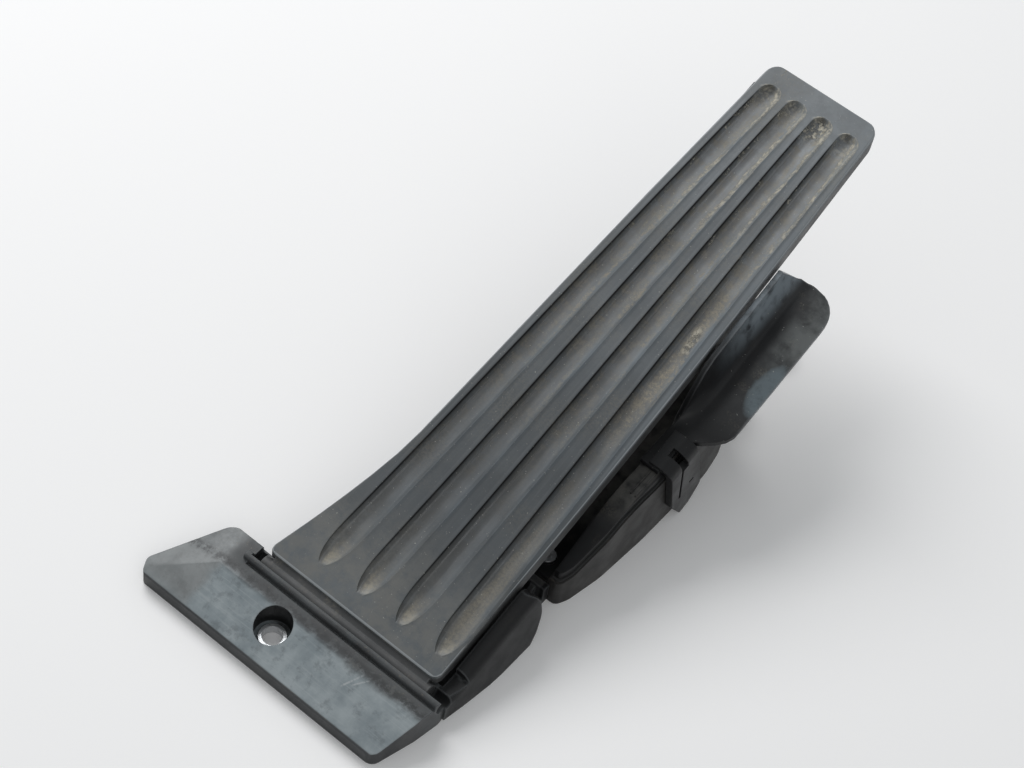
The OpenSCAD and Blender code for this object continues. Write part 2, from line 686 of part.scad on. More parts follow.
// Cap on the cheek, with a rounded shoulder and a rim that drops inside
cap_in = 1.2;
cap_h = 3.6;
cap_t = 1.8;
gasket_t = 0.9;
module cheek_layer(e, low, high) {
    intersection() {
        upright(house_plan(e), 0, 80);
        along_x(below_cheek(high), cheek_in + e, 80);
        cheek_above(low);
    }
}
module cheek_above(low) {
    difference() {
        block(cheek_in - 1, 82, house_front - 2, house_back + 2, 1, 80);
        along_x(below_cheek(low), cheek_in - 2, 84);
    }
}
module cheek_cap() {
    shoulder = rounded([[cheek_in - 9, -60, 0], [house_right - cap_in, -60, 0],
        [house_right - cap_in, gasket_t + cap_h, 2.5], [cheek_in - 9, gasket_t + cap_h, 0]], 8);
    color([0.16, 0.16, 0.17]) difference() {
        union() {
            intersection() {
                cheek_layer(cap_in, gasket_t + 0.05, gasket_t + cap_h);
                translate([0, house_front, cheek_top(house_front)]) rotate([atan(cheek_slope), 0, 0])
                    along_y(shoulder, -30, 200);
            }
            cheek_layer(house_wall + 0.15, -3, gasket_t + 1);
            cap_lines();
        }
        cheek_layer(house_wall + 1.3, -4, gasket_t + cap_h - cap_t);
    }
}
// Two raised lines along the top of the cap
line_x = [house_right - 5.2, house_right - 3.1];
line_w = 0.5;
line_h = 0.45;
line_y0 = nose_end + 4;
module cap_lines() {
    for (x = line_x)
        along_x([[line_y0, cheek_top(line_y0) + gasket_t + cap_h - 0.5],
            [wing_y0 - slack, cheek_top(wing_y0 - slack) + gasket_t + cap_h - 0.5],
            [wing_y0 - slack, cheek_top(wing_y0 - slack) + gasket_t + cap_h + line_h],
            [line_y0, cheek_top(line_y0) + gasket_t + cap_h + line_h]], x, x + line_w);
}

module cover_gasket() {
    color([0.08, 0.08, 0.08]) difference() {
        cheek_layer(0.6, 0.05, gasket_t);
        cheek_layer(house_wall - 0.2, -4, 10);
    }
}

module cover_screws() {
    color([0.7, 0.7, 0.72]) for (p = cover_screw_at)
        translate([p[0], p[1], deck_top(p[1]) - head_sink + 0.05]) {
            translate([0, 0, -8]) cylinder(h = 8.5, r = screw_d / 2);
            difference() {
                cylinder(h = 1.9, r = screw_head_d / 2);
                translate([0, 0, 0.7]) cylinder(h = 2, r = 1.5, $fn = 6);
            }
        }
}

// Guard wing beside the pad, clipped over the cheek
wing_gap = 0.8;
pad_sweep = 12;
wing_y0 = 125;
wing_y1 = wing_y0 + wing_run;
wing_flat_y = 144;
wing_lip = 16.5;
wing_lip_w = 6.5;
wing_lip_y = 143;
wing_lip_run = 18;
wing_toe_cut = 12;
wing_slope = 18.5;
function wing_z(y) = y < wing_flat_y ? cheek_top(y) + gasket_t + cap_h + 0.05
    : cheek_top(wing_flat_y) + gasket_t + cap_h + 0.05 + (y - wing_flat_y) * tan(wing_slope);
function wing_right(y) = let (w = wing_w + pad_right_x + 0.6, narrow = house_right - cap_in - 1,
    a = min(1, max(0, (y - wing_flat_y + 3) / 13)), d = wing_y1 - y) mix(narrow, w, sin(90 * a))
    - corner_in(9, d) - (d < 14 ? 1.2 * pow(1 - d / 14, 2) : 0);
function wing_left(y) = pad_right(y - pad_sweep) + wing_gap + 4 * (1 - round_end(wing_y1 - y, wing_toe_cut));
// Height of the upturned lip beside the pad, cut back at the toe
function wing_lip_h(y) = let (a = min(1, max(0, (y - wing_lip_y) / wing_lip_run)))
    wing_lip * a * a * (3 - 2 * a) * min(1, max(0, (wing_y1 - y) / wing_toe_cut));
// Middle of the sheet and its normal, round the lip and then over the flat
function lip_point(y, h, w, a) = let (n = unit([h * cos(a), w * max(0.1, sin(a))]) * wing_t / 2)
    [[wing_left(y) + wing_t / 2 + w * (1 - cos(a)), h * (1 - sin(a))], n];
function flat_point(y, w, t) = [[mix(wing_left(y) + wing_t / 2 + w, wing_right(y), t),
    0.5 * min(1, max(0, (y - wing_flat_y) / 24)) * sin(180 * t)], [0, wing_t / 2]];
function wing_section(y) = let (h = wing_lip_h(y),
    w = min(wing_lip_w, 0.4 * (wing_right(y) - wing_left(y) - wing_t / 2))) concat(
    [for (a = [0, 20, 40, 60, 75]) lip_point(y, h, w, a)],
    [for (t = [0, 0.25, 0.5, 0.75, 1]) flat_point(y, w, t)]);
function wing_ring(y) = let (section = wing_section(y), z = wing_z(y) + wing_t / 2, last = len(section) - 1)
    concat([for (p = section) [p[0][0] + p[1][0], y, z + p[0][1] + p[1][1]]],
    [for (i = [last:-1:0]) let (p = section[i]) [p[0][0] - p[1][0], y, z + p[0][1] - p[1][1]]]);
wing_rows = concat([wing_y0, 134, 141, wing_flat_y, 147, 150, 153, 157],
    [for (i = [0:8]) mix(162, wing_y1 - wing_toe_cut, i / 8)],
    [for (d = [9, 6.5, 4.5, 2.8, 1.3, 0.5, 0]) wing_y1 - d]);

// Clip over the cheek: a narrow bar and a wider plate with a slot between them, and a tab at the foot
clip_y0 = wing_flat_y - 17.5;
clip_w = 15.2;
clip_t = 3;
clip_slot = 1.1;
clip_drop = 39;
clip_top = 2.9;
module wing_clip() {
    x = house_right + slack;
    root = house_right - 7;
    out = x + clip_t;
    slot_top = 5.8;
    slot_foot = 2.6;
    arm = rounded([[root, 0.3, 0], [x, 0.3, 2.6], [x, 1.5 - clip_drop, 0], [x + 1, -clip_drop - 1, 0],
        [out, -clip_drop - 1, 0], [out, clip_top, 5.5], [root, clip_top, 0]], 6);
    face = rounded([[0, 5, 0], [0, 0, 0], [-1.3, -26, 1], [2.6, -clip_drop, 1.2], [8, 0.6 - clip_drop, 1],
        [clip_w, 6 - clip_drop, 2.5], [clip_w, 5, 0]], 5);
    slot = [[slot_top, 0], [slot_foot, -24.5], [slot_foot + clip_slot, -24.5], [slot_top + clip_slot, 0]];
    translate([0, clip_y0, wing_z(clip_y0)]) rotate([wing_slope, 0, 0]) difference() {
        intersection() {
            along_y(arm, -3, clip_w + 1);
            along_x(face, root - 1, out + 1);
        }
        along_x(slot, x - 2, out + 1);
        block(x - 3.5, out + 1, slot_top, slot_top + 3.4, -3.6, clip_top + 1);
        block(out - 0.7, out + 1, 9, 11.5, -21, -19.8);
    }
    fill_y = clip_y0 + 13.5;
    along_x([[clip_y0 + 1, wing_z(clip_y0) + 1], [fill_y, wing_z(fill_y) + 1],
        [fill_y, wing_z(clip_y0) + 1.2 + 13.5 * tan(wing_slope)]], root, house_right - cap_in - 1.2);
}
module guard_wing() {
    color([0.17, 0.18, 0.19]) {
        loft([for (y = wing_rows) wing_ring(y)]);
        wing_clip();
    }
}

// Sensor board and connector
board_x = cheek_in + house_wall + 1.6;
board_t = 1.6;
board_y0 = shaft_y - 26;
board_y1 = house_back - 18;
board_z0 = 9.1;
board_z1 = 26;
chip_t = 1.5;
chip_w = 10;
coil_disc_r = 6;
module sensor_board() {
    color([0.1, 0.35, 0.2]) {
        block(board_x, board_x + board_t, board_y0, board_y1, board_z0, board_z1);
        block(board_x + board_t - 0.1, board_x + board_t + chip_t, shaft_y - chip_w + 2, shaft_y + 2,
            board_z1 - 4 - chip_w, board_z1 - 4);
        block(board_x + board_t - 0.1, board_x + board_t + chip_t - 0.4, board_y0 + 6, board_y0 + 12,
            board_z0 + 4, board_z1 - 7);
        rod_x(coil_disc_r, board_x - 0.8, board_x + 0.1, shaft_y, lever_z + 4);
    }
}
module connector_socket() {
    y0 = house_back - house_wall - 1.5;
    y1 = house_back + socket_len;
    wall = 1.6;
    color([0.12, 0.12, 0.13]) difference() {
        union() {
            block(socket_x, socket_x + socket_w, y0, y1, socket_z, socket_z + socket_h);
            block(socket_x - 1.5, socket_x + socket_w + 1.5, house_back + 0.05, house_back + 1.6,
                socket_z + 2.2, socket_z + socket_h + 1.5);
            block(socket_x + 7, socket_x + 13, house_back + 1, y1 - 4,
                socket_z + socket_h - 0.2, socket_z + socket_h + 1.8);
        }
        block(socket_x + wall, socket_x + socket_w - wall, house_back + 1.5, y1 + 1,
            socket_z + wall, socket_z + socket_h - wall);
        for (i = [0:5])
            block(pin_x(i) - 0.4, pin_x(i) + 0.4, y0 - 1, house_back + 3, socket_z + 2.9, socket_z + 3.7);
    }
}
function pin_x(i) = socket_x + socket_w / 2 + (i - 2.5) * 2.5;
module connector_pins() {
    color([0.8, 0.7, 0.4]) for (i = [0:5])
        block(pin_x(i) - 0.32, pin_x(i) + 0.32, house_back - 9, house_back + 8,
            socket_z + 2.98, socket_z + 3.62);
}

// Shaft bushes, friction shoe and bumpers
module shaft_bush(x, collar_x) {
    color([0.85, 0.83, 0.75]) difference() {
        union() {
            rod_x(bush_d / 2, x, x + cradle_t, shaft_y, lever_z);
            rod_x(bush_d / 2 + 1, collar_x, collar_x + 1, shaft_y, lever_z);
            rod_x(bush_d / 2 - 0.5, min(x, collar_x), max(x, collar_x) + 1, shaft_y, lever_z);
        }
        rod_x(shaft_d / 2 + 0.05, x - 3, x + cradle_t + 2, shaft_y, lever_z);
    }
}
module shaft_bush_left() {
    shaft_bush(cradle_x[0], cradle_x[0] + cradle_t + 0.05);
}
module shaft_bush_right() {
    shaft_bush(cradle_x[1], cradle_x[1] - 1.05);
}
drum_r = 6.4;
hub_half = 5.5;
module friction_shoe() {
    color([0.5, 0.42, 0.3]) difference() {
        block(lever_x - 4, lever_x + 4, shaft_y - 5, shaft_y + 4.5, house_floor + 0.05, lever_z - 4.8);
        rod_x(drum_r + slack, lever_x - 9, lever_x + 9, shaft_y, lever_z);
    }
}
tail_r = 9;
tail_t = 4;
tail_angle = 190;
rest_bumper_r = 2.2;
module rest_bumper() {
    reach = tail_r - rest_bumper_r + 0.9;
    top = lever_z + reach * sin(tail_angle) - tail_t / 2 - slack;
    color([0.1, 0.1, 0.1]) translate([lever_x, shaft_y + reach * cos(tail_angle), house_floor + 0.05])
        cylinder(h = top - house_floor - 0.05, r = rest_bumper_r);
}

// Post under the pad's toe half, as high as the pressed pad leaves room for
bumper_h = 6;
stop_y = post_y - 12.5;
stop_z = turned([stop_y, pad_z(stop_y) - floor_depth], hinge_at, -travel)[1];
stop_post_h = stop_z - bumper_h;
module full_stop_bumper() {
    color([0.1, 0.1, 0.1]) translate([post_x, post_y, stop_post_h + 0.05]) {
        cylinder(h = bumper_h - slack - 0.05, r1 = 5.4, r2 = 4);
        translate([0, 0, -5]) cylinder(h = 5.5, r = 2.4);
    }
}
module rear_sleeves() {
    color([0.75, 0.76, 0.76]) for (x = rear_bolt_x)
        translate([x, rear_bolt_y, 0]) difference() {
            cylinder(h = rear_boss_h + 0.3, r = rear_sleeve_d / 2);
            translate([0, 0, -1]) cylinder(h = 20, r = rear_bore / 2);
        }
}

// Lever with its hub, spring sleeves and tail
lever_len = norm([pin_y - shaft_y, pin_z - lever_z]);
lever_angle = atan2(pin_z - lever_z, pin_y - shaft_y);
sleeve_r = 4.4;
spring_in = hub_half + 0.4;
coil_pitch = 1.75;
spring_len = spring_turns * coil_pitch + wire_d;
eye_r = pin_d / 2 + 3;
leg_len = 13;
lug_x = spring_in + wire_d + 0.2;
lug_z = 0.25 + wire_d / 2 - spring_r;
module lever_blade(half, e) {
    along_x(rounded([
        [0, -5 + e, 0], [lever_len - 4, -eye_r + 1.2 + e, 0], [lever_len - 4, eye_r - 1.2 - e, 0],
        [20, 6.2 - e, 10], [0, 6.4 - e, 0]], 5), -half, half);
}
module lever_arm() {
    color([0.3, 0.3, 0.32]) translate([lever_x, shaft_y, lever_z]) rotate([lever_angle, 0, 0]) difference() {
        union() {
            difference() {
                lever_blade(lever_w / 2, 0);
                for (side = [-1, 1], cell = [0:2]) {
                    y0 = 12 + cell * (lever_len - 22) / 3;
                    y1 = y0 + (lever_len - 22) / 3 - 1.8;
                    x0 = side > 0 ? 1.1 : -lever_w;
                    block(x0, x0 + lever_w - 1.1, y0, y1, -eye_r + 3.2, eye_r - 3.2);
                }
            }
            rod_x(drum_r, -hub_half, hub_half, 0, 0);
            rod_x(sleeve_r, -spring_in - spring_len - 0.6, spring_in + spring_len + 0.6, 0, 0);
            rod_x(eye_r, -lever_w / 2, lever_w / 2, lever_len, 0);
            lever_tail();
            block(-lug_x, lug_x, leg_len - 3.5, leg_len + 0.5, lug_z, lug_z + 2.4);
        }
        rod_x(shaft_d / 2 + 0.02, -40, 40, 0, 0);
        rod_x(pin_d / 2 + 0.02, -40, 40, lever_len, 0);
    }
}
module lever_tail() {
    rotate([tail_angle - lever_angle, 0, 0]) block(-3, 3, 4, tail_r, -tail_t / 2, tail_t / 2);
}
module lever_shaft() {
    color([0.72, 0.73, 0.75])
        rod_x(shaft_d / 2, cradle_x[0] - 1, cradle_x[1] + cradle_t + rotor_gap + rotor_len - 1, shaft_y, lever_z);
}
rotor_r = 6.2;
rotor_gap = 0.4;
rotor_len = 8;
rotor_disc = 3;
module magnet_rotor() {
    x0 = cradle_x[1] + cradle_t + rotor_gap;
    x1 = x0 + rotor_len;
    color([0.25, 0.25, 0.27]) difference() {
        union() {
            rod_x(rotor_r - 1.2, x0, x1 - rotor_disc, shaft_y, lever_z);
            rod_x(rotor_r, x1 - rotor_disc, x1, shaft_y, lever_z);
        }
        rod_x(shaft_d / 2 + 0.02, x0 - 1, x1 - 0.98, shaft_y, lever_z);
    }
}
module link_pin() {
    half = ear_in + ear_t + 0.6;
    color([0.72, 0.73, 0.75]) {
        rod_x(pin_d / 2, lever_x - half, lever_x + half, pin_y, pin_z);
        rod_x(pin_d / 2 + 1.3, lever_x - half - 0.8, lever_x - half, pin_y, pin_z);
        rod_x(pin_d / 2 + 1.3, lever_x + half, lever_x + half + 0.8, pin_y, pin_z);
    }
}
module link_rollers() {
    color([0.85, 0.83, 0.75]) for (x0 = [lever_x - ear_in - ear_t - 0.3, lever_x + ear_in - 0.3])
        difference() {
            rod_x(roller_d / 2, x0, x0 + ear_t + 0.6, pin_y, pin_z);
            rod_x(pin_d / 2 + 0.04, x0 - 1, x0 + ear_t + 2, pin_y, pin_z);
        }
}

// Return springs: a coil on each sleeve with one leg on the lever and one on the floor
coil_steps = 20;
wire_sides = 8;
floor_leg_tilt = 15;
floor_leg = 11;
function coil_point(side, t) =
    let (a = -90 + floor_leg_tilt + (360 * spring_turns + lever_angle - floor_leg_tilt) * t)
    [lever_x + side * (spring_in + wire_d / 2 + coil_pitch * spring_turns * (1 - t)),
     shaft_y + spring_r * cos(a), lever_z + spring_r * sin(a)];
module return_spring(side) {
    steps = coil_steps * spring_turns;
    path = [for (i = [0:steps]) coil_point(side, i / steps)];
    floor_end = path[0] - floor_leg * [0, cos(floor_leg_tilt), sin(floor_leg_tilt)];
    lever_end = path[steps] + leg_len * [0, cos(lever_angle), sin(lever_angle)];
    color([0.45, 0.45, 0.47]) wire(concat([floor_end], path, [lever_end]), wire_d / 2);
}
function cross_ring(p, dir, r) = let (u = unit(cross(dir, [1, 0.001, 0])), v = cross(dir, u))
    [for (k = [0:wire_sides - 1]) let (a = 360 * k / wire_sides) p + r * (u * cos(a) + v * sin(a))];
module wire(route, r) {
    last = len(route) - 1;
    loft([for (i = [0:last]) cross_ring(route[i], unit(route[min(last, i + 1)] - route[max(0, i - 1)]), r)]);
}
module return_spring_left() {
    return_spring(-1);
}
module return_spring_right() {
    return_spring(1);
}

base_frame();
heel_sleeve();
frame_screws();
housing_shell();
deck_cover();
cheek_cap();
cover_gasket();
cover_screws();
guard_wing();
sensor_board();
connector_socket();
connector_pins();
shaft_bush_left();
shaft_bush_right();
friction_shoe();
rest_bumper();
full_stop_bumper();
rear_sleeves();
pedal_carrier();
pad_tread();
lever_arm();
lever_shaft();
magnet_rotor();
link_pin();
link_rollers();
return_spring_left();
return_spring_right();
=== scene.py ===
from math import radians

import bpy
from mathutils import Matrix, Vector

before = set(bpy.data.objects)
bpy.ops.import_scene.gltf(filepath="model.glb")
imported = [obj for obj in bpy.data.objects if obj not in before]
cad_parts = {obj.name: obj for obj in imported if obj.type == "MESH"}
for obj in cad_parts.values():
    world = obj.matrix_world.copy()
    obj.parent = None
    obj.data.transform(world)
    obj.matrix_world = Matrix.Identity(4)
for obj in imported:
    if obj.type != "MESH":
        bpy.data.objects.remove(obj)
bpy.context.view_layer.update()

MM = 0.001

# Camera fitted to the photograph, in the frame's axes
CAMERA_AT = Vector((256.26, -316.78, 688.81)) * MM
CAMERA_RIGHT = Vector((0.77128, 0.62501, 0.12039))
CAMERA_DOWN = Vector((0.55811, -0.57315, -0.60001))
CAMERA_AHEAD = Vector((-0.30601, 0.52996, -0.79088))
LENS = 80.82
SENSOR_WIDTH = 36.0
CLIP_START = 0.02

# Lamps and world, in metres and watts
LIT_CENTRE = (0.03, 0.12, 0.0)
WINDOW_AT = (-0.9, 0.55, 1.1)
WINDOW_SIZE = 0.9
WINDOW_POWER = 12.3
WINDOW_COLOR = (0.98, 0.99, 1.0)
FILL_AT = (0.9, -0.7, 1.0)
FILL_SIZE = 1.2
FILL_POWER = 2.0
FILL_COLOR = (1.0, 0.99, 0.97)
SKY_COLOR = (0.93, 0.97, 1.0, 1)
SKY_STRENGTH = 0.4

# Floor, in metres, with the colour and glow that the camera, reflections and clear pieces see
FLOOR_REACH = 6.0
FLOOR_DROP = 0.05 * MM
FLOOR_DARK = (0.74, 0.74, 0.735)
FLOOR_LIGHT = (0.78, 0.78, 0.775)
FLOOR_SEEN = (1.0, 0.985, 0.975)
FLOOR_GLOW = 0.045

# Edges: what is merged and dissolved, the angles that are bevelled or split, and bevels in millimetres
WELD_GAP = 0.002 * MM
DISSOLVE_ANGLE = radians(0.6)
BEVEL_ANGLE = radians(34)
SPLIT_ANGLE = radians(28)
BEVEL_SEGMENTS = 2
PLASTIC_BEVEL = 0.25
TREAD_BEVEL = 0.3
METAL_BEVEL = 0.1
NO_BEVEL = 0

# Radius over which a shaded edge is rounded, and over which it wears, in millimetres
SOFT_EDGE = 0.5
WORN_EDGE = 1.1
BEVEL_SAMPLES = 4

# Specks on moulded plastic: their size in grains, and how strongly they show
SPECK_GRAINS = 4
SPECK_SHARE = 0.25

# What settled dust adds to the roughness of moulded plastic and of the pad
PLASTIC_DUST_ROUGHNESS = 0.3
TREAD_DUST_ROUGHNESS = 0.35

# Colours of what lies on the plastic or has worn it
DUST = (0.30, 0.262, 0.195)
CAKED = (0.56, 0.52, 0.43)
WORN = (0.2, 0.21, 0.215)


class Graph:
    """A material's node tree, built from the shader back."""

    def __init__(self, name):
        self.material = bpy.data.materials.new(name)
        self.material.use_nodes = True
        self.tree = self.material.node_tree
        self.shader = self.tree.nodes["Principled BSDF"]
        metres = self.tree.nodes.new("ShaderNodeTexCoord").outputs["Object"]
        scaled = self.node("ShaderNodeVectorMath", {0: metres, "Scale": 1 / MM}, operation="SCALE")
        self.place = scaled.outputs[0]

    def put(self, socket, value):
        """Links a socket to another node's output, or sets its plain value."""
        if isinstance(value, bpy.types.NodeSocket):
            self.tree.links.new(value, socket)
        elif isinstance(value, (tuple, list)) and socket.type == "RGBA":
            socket.default_value = (*value, 1.0)
        else:
            socket.default_value = value

    def node(self, kind, inputs=None, **settings):
        made = self.tree.nodes.new(kind)
        for key, value in settings.items():
            setattr(made, key, value)
        for key, value in (inputs or {}).items():
            self.put(made.inputs[key], value)
        return made

    def math(self, operation, a, b=0.0, clamp=False):
        made = self.node("ShaderNodeMath", {0: a, 1: b}, operation=operation, use_clamp=clamp)
        return made.outputs[0]

    def add(self, a, b):
        return self.math("ADD", a, b)

    def sub(self, a, b):
        return self.math("SUBTRACT", a, b)

    def div(self, a, b):
        return self.math("DIVIDE", a, b)

    def mul(self, a, *more):
        for value in more:
            a = self.math("MULTIPLY", a, value)
        return a

    def most(self, a, *more):
        for value in more:
            a = self.math("MAXIMUM", a, value)
        return a

    def least(self, a, b):
        return self.math("MINIMUM", a, b)

    def band(self, value, centre, half, soft):
        """1 within half of the centre, fading to 0 over the soft distance."""
        away = self.math("ABSOLUTE", self.sub(value, centre))
        return self.ramp(away, half, half + soft, 1.0, 0.0)

    def curve(self, value, points):
        """A smooth curve through points between 0 and 1."""
        made = self.node("ShaderNodeFloatCurve", {"Value": value})
        line = made.mapping.curves[0]
        line.points[0].location = points[0]
        line.points[-1].location = points[-1]
        for point in points[1:-1]:
            line.points.new(*point)
        made.mapping.update()
        return made.outputs[0]

    def split(self, vector):
        return self.node("ShaderNodeSeparateXYZ", {0: vector}).outputs

    def mapped(self, vector, scale, turn=0.0):
        """A place scaled along each axis. A turn about Z, done last, picks another part of a noise."""
        turned = (0, 0, radians(turn))
        made = self.node("ShaderNodeMapping", {"Vector": vector, "Rotation": turned, "Scale": scale})
        return made.outputs[0]

    def noise(self, size, detail=3.0, rough=0.55, vector=None):
        """Noise whose features are about size millimetres across, from 0 to 1."""
        made = self.node("ShaderNodeTexNoise", {"Vector": vector or self.place, "Scale": 1.0 / size,
                                                "Detail": detail, "Roughness": rough})
        return made.outputs["Fac"]

    def ramp(self, value, low, high, to_low=0.0, to_high=1.0, smooth=True):
        """Carries the range from low to high over to another and holds it at both ends."""
        made = self.node("ShaderNodeMapRange", {"Value": value, "From Min": low, "From Max": high,
                                                "To Min": to_low, "To Max": to_high})
        made.interpolation_type = "SMOOTHSTEP" if smooth else "LINEAR"
        return made.outputs[0]

    def mix(self, fac, a, b):
        made = self.node("ShaderNodeMix", data_type="RGBA", blend_type="MIX")
        self.put(made.inputs[0], fac)
        self.put(made.inputs[6], a)
        self.put(made.inputs[7], b)
        return made.outputs[2]

    def bump(self, height, strength, distance, normal=None):
        """The surface's normal with a relief whose height is given in millimetres."""
        made = self.node("ShaderNodeBump", {"Height": height, "Strength": strength,
                                            "Distance": distance * MM})
        if normal is not None:
            self.put(made.inputs["Normal"], normal)
        return made.outputs[0]

    def plain_normal(self):
        return self.node("ShaderNodeNewGeometry").outputs["Normal"]

    def up(self):
        """How far the surface faces up, from -1 to 1."""
        return self.split(self.plain_normal())[2]

    def rounded(self, radius):
        """The surface's normal as a bevel of this radius would turn it."""
        return self.node("ShaderNodeBevel", {"Radius": radius * MM}, samples=BEVEL_SAMPLES).outputs[0]

    def finish(self, color, roughness, normal=None, specular=0.5, metallic=0.0):
        self.put(self.shader.inputs["Base Color"], color)
        self.put(self.shader.inputs["Roughness"], roughness)
        if normal is not None:
            self.put(self.shader.inputs["Normal"], normal)
        self.shader.inputs["Specular IOR Level"].default_value = specular
        self.shader.inputs["Metallic"].default_value = metallic
        return self.material


def worn_edge(g):
    """Mask of the outer edges, from the way a wide bevel would turn the surface."""
    sides = {0: g.rounded(WORN_EDGE), 1: g.plain_normal()}
    turned = g.node("ShaderNodeVectorMath", sides, operation="DOT_PRODUCT")
    return g.ramp(turned.outputs["Value"], 0.998, 0.94)


def settled_dust(g, dust, size):
    """Mask of fine dust in fields of this size, on what faces up."""
    fields = g.ramp(g.noise(size, 5.0, 0.65), 0.5, 0.72)
    fine = g.ramp(g.noise(0.7, 2.0), 0.35, 0.75)
    return g.math("MULTIPLY", g.mul(g.ramp(g.up(), 0.1, 0.9), fields, fine), dust, clamp=True)


def moulded(name, color, light, roughness=0.5, grain=0.35, grain_height=0.03, mottle=22.0,
            dust=0.0, dust_size=14.0, specular=0.5, edge=0.0, marks=None):
    """Moulded plastic with a fine grain, soft mottling, settled dust, worn edges and its own marks, which on
    the frame and the wing include painted light and shade.
    """
    g = Graph(name)
    shade = g.ramp(g.noise(mottle, 4.0, 0.6), 0.35, 0.68)
    paint = g.mix(shade, color, light)
    speck = g.ramp(g.noise(grain * SPECK_GRAINS, 2.0), 0.6, 0.78)
    paint = g.mix(g.mul(speck, SPECK_SHARE), paint, light)
    rough = g.ramp(g.noise(mottle * 0.4, 3.0), 0.3, 0.7, roughness - 0.06, roughness + 0.07)
    if dust:
        settled = settled_dust(g, dust, dust_size)
        paint = g.mix(settled, paint, DUST)
        rough = g.add(rough, g.mul(settled, PLASTIC_DUST_ROUGHNESS))
    # On the frame and the wing, the marks include painted light and shade
    if marks:
        paint = marks(g, paint)
    if edge:
        paint = g.mix(g.mul(worn_edge(g), edge), paint, WORN)
    relief = g.bump(g.noise(grain, 2.0), 0.6, grain_height, g.rounded(SOFT_EDGE))
    return g.finish(paint, rough, relief, specular=specular)


# Spans on the frame, in millimetres: a mask goes from 0 at the first place to 1 at the second
SLOPE_Y = (7.5, 3.5)
FACET_X = (-27.0, -32.0)
FACET_Z = (4.0, 8.0)
SHELF_START_Y = (4.0, 7.5)
SHELF_END_Y = (24.0, 20.0)
POCKET_RADIUS = (9.6, 9.2)
RIM_Y = (0.0, -4.0)
SKIRT_X = (56.5, 57.5)
SKIRT_Y = (14.0, 19.0)
NEARLY_LEVEL = (0.55, 0.85)

# Middles of the hinge channel and of the grimy line where the slope meets the shelf
CHANNEL_Y = 14.0
GRIME_LINE_Y = 7.2

# Strokes on the slope: place, turn in degrees, length and width in millimetres
STROKES = (((34.2, 2.0, 0), 62, 4.6, 0.35), ((37.0, 3.0, 0), 50, 3.2, 0.3))

# The slope's colours are worn plastic lightened with painted sheen
SLOPE_DARK = (0.2, 0.232, 0.247)
SLOPE_LIGHT = (0.325, 0.36, 0.372)
SLOPE_BRUSHED = (0.43, 0.46, 0.465)
SLOPE_STAIN = (0.085, 0.095, 0.1)
SCRATCHED = (0.42, 0.44, 0.445)
FACET_DARK = (0.175, 0.185, 0.185)
FACET_LIGHT = (0.255, 0.265, 0.265)
FACET_STAIN = (0.1, 0.1, 0.1)
SHELF_GREY = (0.075, 0.083, 0.086)
CRUMB_BROWN = (0.19, 0.165, 0.125)
GRIME_BLACK = (0.022, 0.023, 0.024)
# Painted shade in the bolt's pocket, on the front rim and over the side skirt
POCKET_SHADE = (0.008, 0.008, 0.008)
RIM_SHADE = (0.03, 0.032, 0.034)
SKIRT_SHADE = (0.006, 0.006, 0.0065)


def frame_marks_and_painted_light(g, paint):
    """The heel plate's scuffed front slope, also lightened with painted sheen, and left facet, its grimy
    shelf, painted shade in the bolt's pocket and on the front rim, and the side skirt painted dark as shade.
    """
    x, y, z = g.split(g.place)
    wander = g.mul(g.sub(g.noise(9.0, 4.0, 0.6), 0.5), 5.0)
    level = g.ramp(g.up(), *NEARLY_LEVEL)
    slope = g.mul(g.ramp(g.add(y, wander), *SLOPE_Y), level)
    facet = g.mul(g.ramp(g.add(x, wander), *FACET_X), g.ramp(z, *FACET_Z), level)
    clouds = g.ramp(g.noise(13.0, 5.0, 0.62), 0.3, 0.7)
    stain = g.ramp(g.noise(5.0, 5.0, 0.7), 0.5, 0.68)
    # Wear and painted sheen on the front slope
    paint = g.mix(slope, paint, slope_wear_and_sheen(g, clouds, stain))
    paint = g.mix(facet, paint, facet_paint(g, clouds, stain))
    paint = shelf_dirt(g, paint, y, wander)
    paint = g.mix(strokes(g, slope), paint, SCRATCHED)
    return painted_shade_places(g, paint, x, y)


def slope_wear_and_sheen(g, clouds, stain):
    """The slope's worn plastic, lightened with painted sheen: cloudy, brushed along X, stained and scuffed.
    """
    brushed = g.ramp(g.noise(1.0, 3.0, 0.6, g.mapped(g.place, (0.05, 1.1, 0.4), 35)), 0.5, 0.76)
    scuff = g.most(scratches(g, -25, 0.5), scratches(g, 38, 0.4))
    paint = g.mix(clouds, SLOPE_DARK, SLOPE_LIGHT)
    paint = g.mix(g.mul(brushed, 0.3), paint, SLOPE_BRUSHED)
    paint = g.mix(g.mul(stain, 0.4), paint, SLOPE_STAIN)
    return g.mix(g.mul(scuff, 0.4), paint, SCRATCHED)


def scratches(g, turn, spacing):
    """Mask of fine scratches along X, in loose fields. Another turn gives other scratches."""
    lines = g.noise(1.0, 2.0, 0.6, g.mapped(g.place, (0.02, 1 / spacing, 0.02), turn))
    fields = g.noise(18.0, 2.0)
    return g.mul(g.ramp(lines, 0.66, 0.74), g.ramp(fields, 0.46, 0.64))


def facet_paint(g, clouds, stain):
    paint = g.mix(clouds, FACET_DARK, FACET_LIGHT)
    return g.mix(g.mul(stain, 0.3), paint, FACET_STAIN)


